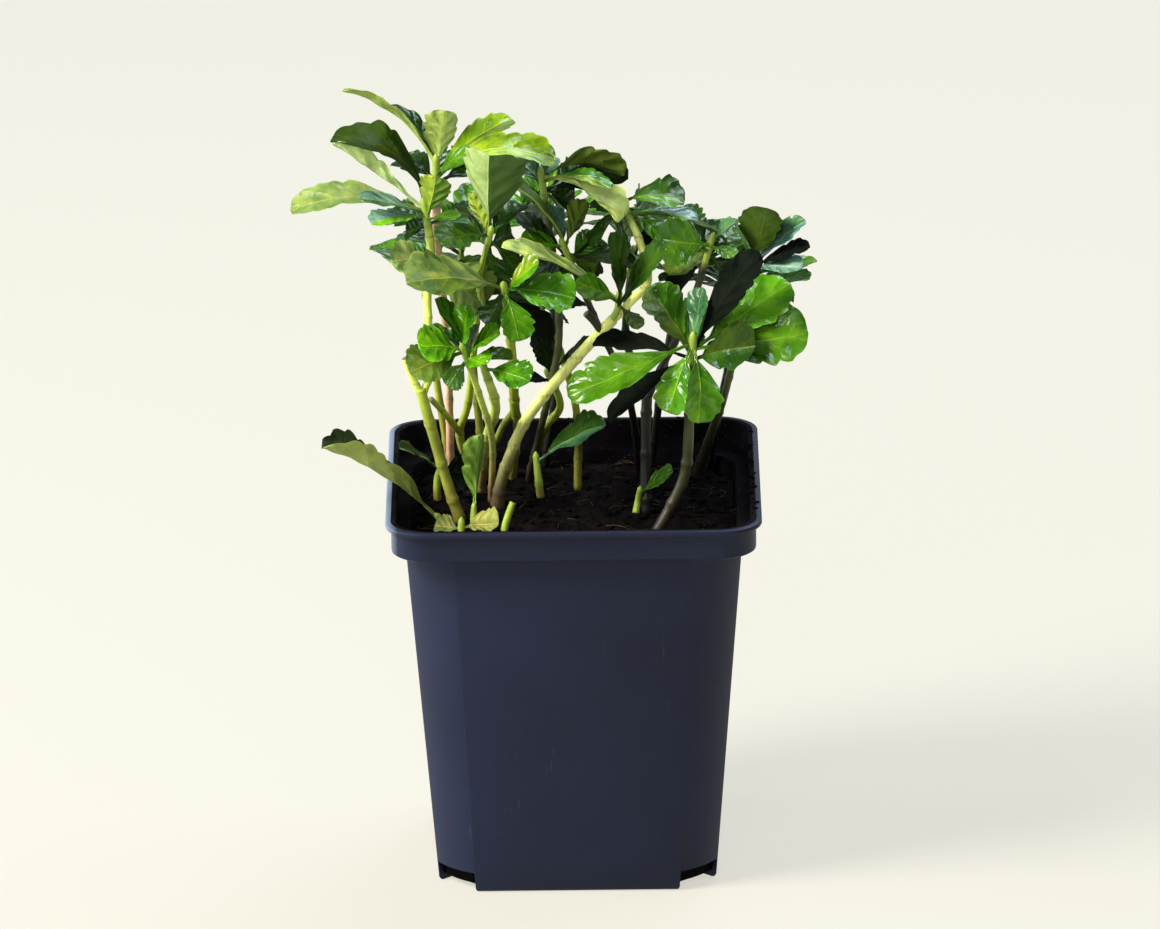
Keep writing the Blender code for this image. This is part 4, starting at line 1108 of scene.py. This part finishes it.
def build_stems():
    """Every stem, bough and stub as one fine piece each, grown a little into what carries it."""
    skins = {kind: stem_material(kind) for kind in SKINS}
    cut = cut_material()
    carriers = {mass.limb: name for name, mass in MASSES.items()}
    nodes = FRAME["nodes"]
    for name, limb in LIMBS.items():
        curve = limb_curve(limb.points)
        if limb.host is None and name in nodes:
            curve[0] = (curve[0][0] - Vector((0, 0, 1.2)), curve[0][1] * 1.05)
        bm = bmesh.new()
        scars = leaf_scars(curve, name)
        rings = stem_rings(curve, scars)
        if name in carriers:
            direction = direction_at(curve, len(curve) - 1)
            end, radius = curve[-1]
            for share in (0.4, 0.8, 1.0):
                size = radius * (1 - share * share) + 0.1
                rings.append(circle_points(end + direction * 2 * radius * share, size, direction, 14))
        caps = sweep(bm, rings)
        if name.startswith("stub") or name in ("bough_cross_left", "bough_middle_side"):
            caps[-1].material_index = 1
        bmesh.ops.recalc_face_normals(bm, faces=bm.faces)
        mark_stem(bm, curve, scars, name in carriers)
        skin = skins[LIMB_SKIN.get(name, "green")]
        add_piece(f"{name}_skin", bm, [skin, cut], "stem", *([name] if name in nodes else []))


# Leaves


def leaf_outline(share):
    blade = (share - STALK_SHARE) / (1 - STALK_SHARE)
    if not 0 < blade < 1:
        return 0.0
    widest = 1.15 / (1.15 + 0.5)
    return (blade / widest) ** 1.15 * ((1 - blade) / (1 - widest)) ** 0.5


def toothed(share, teeth):
    """The outline with coarse forward teeth toward the tip, each with its own depth."""
    blade = (share - STALK_SHARE) / (1 - STALK_SHARE)
    width = leaf_outline(share)
    step = (blade - TEETH_START) / (1 - TEETH_START) * len(teeth)
    if 0 <= step < len(teeth):
        phase = step % 1
        width *= 1 - teeth[int(step)] * (phase / 0.2 if phase < 0.2 else ((1 - phase) / 0.8) ** 1.4)
    return width


def quilting(across, share):
    """How far the blade swells between its side veins, from 0 on a vein to 1 half way."""
    out = abs(across)
    stagger = VEIN_STAGGER if across > 0 else -VEIN_STAGGER
    vein = (share - VEIN_CLIMB * out**1.4 + stagger) * VEINS
    return sin(pi * vein) ** 2 * 4 * out * (1 - out)


def midrib(reach, arch, share):
    bend = radians(arch)
    radius = reach / (2 * sin(bend / 2))
    slope = bend * (0.5 - share)
    return radius * (sin(bend / 2) - sin(slope)), radius * (cos(slope) - cos(bend / 2)), slope


def leaf_axes(root, tip, roll):
    along = (tip - root).normalized()
    level = Vector((-along.y, along.x, 0)).normalized()
    lean = Matrix.Rotation(radians(roll), 3, along)
    return along, lean @ level, lean @ along.cross(level)


def add_leaf(bm, root, tip, leaf, materials, seed):
    """Folded, arched and slightly waved blade on its stalk, from two grids that meet at the edge."""
    chance = random.Random(seed)
    along, left, up = leaf_axes(root, tip, leaf.roll)
    reach = (tip - root).length
    fold = radians(leaf.fold)
    uv = bm.loops.layers.uv["leaf"]
    side_layer = bm.loops.layers.color["face_side"]
    count = chance.choice((2, 3, 3, 4))
    teeth = {side: [chance.uniform(0.07, 0.22) for _ in range(count)] for side in (False, True)}
    waves = {side: (chance.uniform(0.03, 0.11), chance.uniform(0, 6)) for side in (False, True)}
    girth = {side: chance.uniform(0.93, 1.02) for side in (False, True)}
    crease = chance.uniform(0.1, 0.45)
    sway = chance.uniform(-0.035, 0.035) * reach
    for skin in (1, -1):
        made = bmesh.ops.create_grid(bm, x_segments=LEAF_COLUMNS, y_segments=LEAF_ROWS, size=1.0)["verts"]
        spots = {}
        for vert in made:
            across, share = vert.co.x, (vert.co.y + 1) / 2
            spots[vert] = (across, share)
            out = abs(across)
            forward, height, slope = midrib(reach, leaf.arch, share)
            normal = up * cos(slope) - along * sin(slope)
            wave, phase = waves[across > 0]
            blade = leaf.width * girth[across > 0] * toothed(share, teeth[across > 0]) / 2
            stalk = STALK_WIDTH / 2 * (1 - 0.55 * max(0.0, share - 0.3))
            half = max(blade, stalk if share < 0.999 else 0.12)
            lift = (crease * out + (1 - crease) * out * out) * half * sin(fold)
            ripple = wave * sin(share * 13 + phase) * out * out * blade
            body = 0.34 if share < STALK_SHARE else 0.2 * (1 - share)
            thick = 0.14 * (1 - out**3) + body * max(0.0, 1 - out * 3.2)
            aside = across * half * cos(fold) + sway * sin(pi * share)
            place = root + along * forward + up * height + left * aside
            bulge = BULGE * noise.noise(place * BULGE_PITCH) + QUILT * quilting(across, share)
            vert.co = (place + normal * (lift + ripple + bulge * min(1.0, blade / 2) + skin * thick)) * MM
        for face in {face for vert in made for face in vert.link_faces}:
            # Each half of the fold takes its own tone, painting light on one half and shade on the other where the two
            # differ
            middle = sum(spots[loop.vert][0] for loop in face.loops)
            face.material_index = materials[middle > 0]
            face.smooth = True
            for loop in face.loops:
                loop[uv].uv = spots[loop.vert]
                loop[side_layer] = (1, 1, 1, 1) if skin > 0 else (0, 0, 0, 1)
            if skin < 0:
                face.normal_flip()


def spare_tone(chance, place):
    # Spares on the left take brighter tones and those on the right deeper ones: painted light from the left and
    # painted shade on the right
    choices = ("bright", "mid", "deep", "mid") if place.x < 0 else ("deep", "mid", "bright", "deep")
    return chance.choice(choices)


def spare_leaves(name, mass, place):
    chance = random.Random(name)
    tint = random.Random(f"{name} tint")
    low, high = mass.around
    start = chance.uniform(0, 360)
    leaves = []
    for order in range(mass.spare):
        turn = low + (start + order * GOLDEN_ANGLE) % 360 * (high - low) / 360
        rise = chance.uniform(*(LOW_RISE if order < LOW_SPARES else HIGH_RISE))
        reach = chance.uniform(*(LOW_REACH if order < LOW_SPARES else HIGH_REACH))
        level = reach * cos(radians(rise))
        tip = (level * cos(radians(turn)), level * sin(radians(turn)), reach * sin(radians(rise)))
        size = (reach * chance.uniform(*SPARE_WIDTH), chance.uniform(*SPARE_ARCH), chance.uniform(*SPARE_ROLL))
        leaves.append(Leaf(tip, *size, SPARE_FOLD, spare_tone(tint, place)))
    return leaves


def on_solid(tree, place):
    found = tree.find_nearest(place * MM)
    return found[0] is not None and found[3] < 0.45 * MM


def leaf_ends(curve, leaf, order, tree):
    """Root and tip of a leaf where the solids have it, or None where they have none."""
    for slip in ROOT_SLIPS:
        depth = ROOT_TOP + max(0, order * ROOT_STEP - slip)
        root = curve[max(0, len(curve) - round(depth / CURVE_STEP))][0]
        for nudge in NUDGES:
            tip = curve[-1][0] + Vector(leaf.tip) + Vector((0, nudge, 0))
            along, left, up = leaf_axes(root, tip, leaf.roll)
            forward, height, slope = midrib((tip - root).length, leaf.arch, MID_BLADE)
            middle = root + along * forward + up * height
            if on_solid(tree, tip) and on_solid(tree, middle):
                return root, tip
    return None


def solid_tree(name):
    bm = bmesh.new()
    bm.from_mesh(FRAME["nodes"][name].data)
    bm.transform(FRAME["nodes"][name].matrix_world)
    tree = BVHTree.FromBMesh(bm)
    bm.free()
    return tree


def build_leaves():
    """The masses of leaves: the leaves that each solid has, finer, in one piece a mass."""
    tones = list(TONES)
    materials = [leaf_material(tone) for tone in tones]
    for name, mass in MASSES.items():
        curve = limb_curve(LIMBS[mass.limb].points)
        end = curve[-1][0]
        tree = solid_tree(name)
        bm = bmesh.new()
        bm.loops.layers.uv.new("leaf")
        bm.loops.layers.color.new("face_side")
        order = 1
        for leaf in (*mass.leaves, *spare_leaves(name, mass, end)):
            ends = leaf_ends(curve, leaf, order, tree)
            if ends:
                # A tone that names two colours gives one to each half of the fold: the pairs paint light on one half
                # and shade on the other
                halves = [tones.index(tone) for tone in leaf.tone.split("|")]
                add_leaf(bm, *ends, leaf, (halves[0], halves[-1]), f"{name} {order}")
                order += 1
        add_piece(f"{name}_foliage", bm, materials, "leaf", name)


# Stage

CAMERA_TARGET = (0.00162, 0.0, 0.09748)
CAMERA_DISTANCE = 2.8376
CAMERA_ELEVATION = 18.084
CAMERA_AZIMUTH = 0.126
CAMERA_ROLL = -0.655
CAMERA_LENS = 364.65


def build_camera():
    camera = bpy.data.cameras.new("camera")
    camera.sensor_width = 36.0
    camera.lens = CAMERA_LENS
    camera.clip_end = 50.0
    obj = bpy.data.objects.new("camera", camera)
    bpy.context.scene.collection.objects.link(obj)
    azimuth, elevation = radians(CAMERA_AZIMUTH), radians(CAMERA_ELEVATION)
    back = Vector((sin(azimuth) * cos(elevation), -cos(azimuth) * cos(elevation), sin(elevation)))
    obj.location = Vector(CAMERA_TARGET) + back * CAMERA_DISTANCE
    turn = (-back).to_track_quat("-Z", "Y").to_matrix() @ Matrix.Rotation(radians(CAMERA_ROLL), 3, "Z")
    obj.rotation_euler = turn.to_euler()
    bpy.context.scene.camera = obj


def add_light(name, place, size, power, colour):
    light = bpy.data.lights.new(name, "AREA")
    light.shape = "DISK"
    light.size = size
    light.energy = power
    light.color = colour
    obj = bpy.data.objects.new(name, light)
    obj.location = place
    obj.rotation_euler = (Vector((0, 0, 0.12)) - Vector(place)).to_track_quat("-Z", "Y").to_euler()
    bpy.context.scene.collection.objects.link(obj)


def build_stage():
    bm = bmesh.new()
    bmesh.ops.create_grid(bm, x_segments=2, y_segments=2, size=6.0)
    mesh = bpy.data.meshes.new("floor")
    bm.to_mesh(mesh)
    bm.free()
    made, nodes, links, shader = new_material("floor")
    colour = (*settings().floor_colour, 1.0)
    shader.inputs["Base Color"].default_value = tuple(channel * 0.18 for channel in colour[:3]) + (1.0,)
    shader.inputs["Emission Color"].default_value = colour
    shader.inputs["Emission Strength"].default_value = 0.70
    shader.inputs["Roughness"].default_value = 0.9
    shader.inputs["Specular IOR Level"].default_value = 0.0
    mesh.materials.append(made)
    floor = bpy.data.objects.new("floor", mesh)
    bpy.context.scene.collection.objects.link(floor)
    world = bpy.data.worlds.new("studio")
    bpy.context.scene.world = world
    world.use_nodes = True
    background = world.node_tree.nodes["Background"]
    background.inputs["Color"].default_value = (0.95, 0.98, 1.0, 1.0)
    background.inputs["Strength"].default_value = 0.17
    add_light("key", (-1.1, -0.5, 1.12), 0.65, 52.0, (1.0, 0.96, 0.86))
    add_light("left", (-1.5, 0.1, 0.35), 0.5, 15.0, (0.62, 0.78, 1.0))
    add_light("right", (1.0, 0.5, 1.0), 0.5, 5.0, (0.80, 0.92, 1.0))
    add_light("front", (-0.25, -1.5, 0.95), 0.7, 8.0, (1.0, 0.98, 0.92))
    add_light("back", (0.35, 1.0, 1.25), 0.9, 17.0, (0.76, 0.90, 1.0))
    bpy.context.scene.view_settings.view_transform = "Standard"
    build_camera()


# Add-on


class PlantSettings(bpy.types.PropertyGroup):
    """Sizes and colours that a user would change."""

    pot_colour: bpy.props.FloatVectorProperty(
        name="Pot colour",
        description="Colour of the moulded plastic",
        subtype="COLOR",
        min=0.0,
        max=1.0,
        default=(0.0075, 0.0107, 0.0305),
    )
    floor_colour: bpy.props.FloatVectorProperty(
        name="Floor colour",
        description="Colour of the plain floor",
        subtype="COLOR",
        min=0.0,
        max=1.0,
        default=(0.88, 0.855, 0.76),
    )
    leaf_gloss: bpy.props.FloatProperty(
        name="Leaf gloss",
        description="How strongly the leaves shine",
        min=0.0,
        max=1.0,
        default=1.0,
    )
    crumbs: bpy.props.IntProperty(
        name="Crumbs",
        description="Crumbs of peat scattered on its surface",
        min=0,
        default=900,
    )


class PLANT_OT_pot(bpy.types.Operator):
    """Make the square pot with its lip, band and drain notches"""

    bl_idname = "plant.pot"
    bl_label = "Pot"

    def execute(self, context):
        build_pot()
        return {"FINISHED"}


class PLANT_OT_peat(bpy.types.Operator):
    """Make the lumpy peat with its crumbs and fibres"""

    bl_idname = "plant.peat"
    bl_label = "Peat"

    def execute(self, context):
        build_peat()
        return {"FINISHED"}


class PLANT_OT_stems(bpy.types.Operator):
    """Make the stems, boughs and cut stubs"""

    bl_idname = "plant.stems"
    bl_label = "Stems"

    def execute(self, context):
        build_stems()
        return {"FINISHED"}


class PLANT_OT_leaves(bpy.types.Operator):
    """Make the masses of toothed, glossy leaves"""

    bl_idname = "plant.leaves"
    bl_label = "Leaves"

    def execute(self, context):
        build_leaves()
        return {"FINISHED"}


class PLANT_OT_stage(bpy.types.Operator):
    """Make the floor, the lights and the camera"""

    bl_idname = "plant.stage"
    bl_label = "Stage"

    def execute(self, context):
        build_stage()
        return {"FINISHED"}


class PLANT_PT_panel(bpy.types.Panel):
    """Lists the steps that build the plant"""

    bl_idname = "PLANT_PT_panel"
    bl_label = "Potted plant"
    bl_space_type = "VIEW_3D"
    bl_region_type = "UI"
    bl_category = "Plant"

    def draw(self, context):
        for name in ("pot_colour", "floor_colour", "leaf_gloss", "crumbs"):
            self.layout.prop(context.scene.plant_settings, name)
        for name in STEPS:
            self.layout.operator(f"plant.{name}")


STEPS = ("pot", "peat", "stems", "leaves", "stage")
CLASSES = (
    PlantSettings,
    PLANT_OT_pot,
    PLANT_OT_peat,
    PLANT_OT_stems,
    PLANT_OT_leaves,
    PLANT_OT_stage,
    PLANT_PT_panel,
)


def register():
    for each in CLASSES:
        bpy.utils.register_class(each)
    bpy.types.Scene.plant_settings = bpy.props.PointerProperty(type=PlantSettings)


def unregister():
    del bpy.types.Scene.plant_settings
    for each in reversed(CLASSES):
        bpy.utils.unregister_class(each)


def main():
    register()
    for name in STEPS:
        getattr(bpy.ops.plant, name)()


if __name__ == "__main__":
    main()
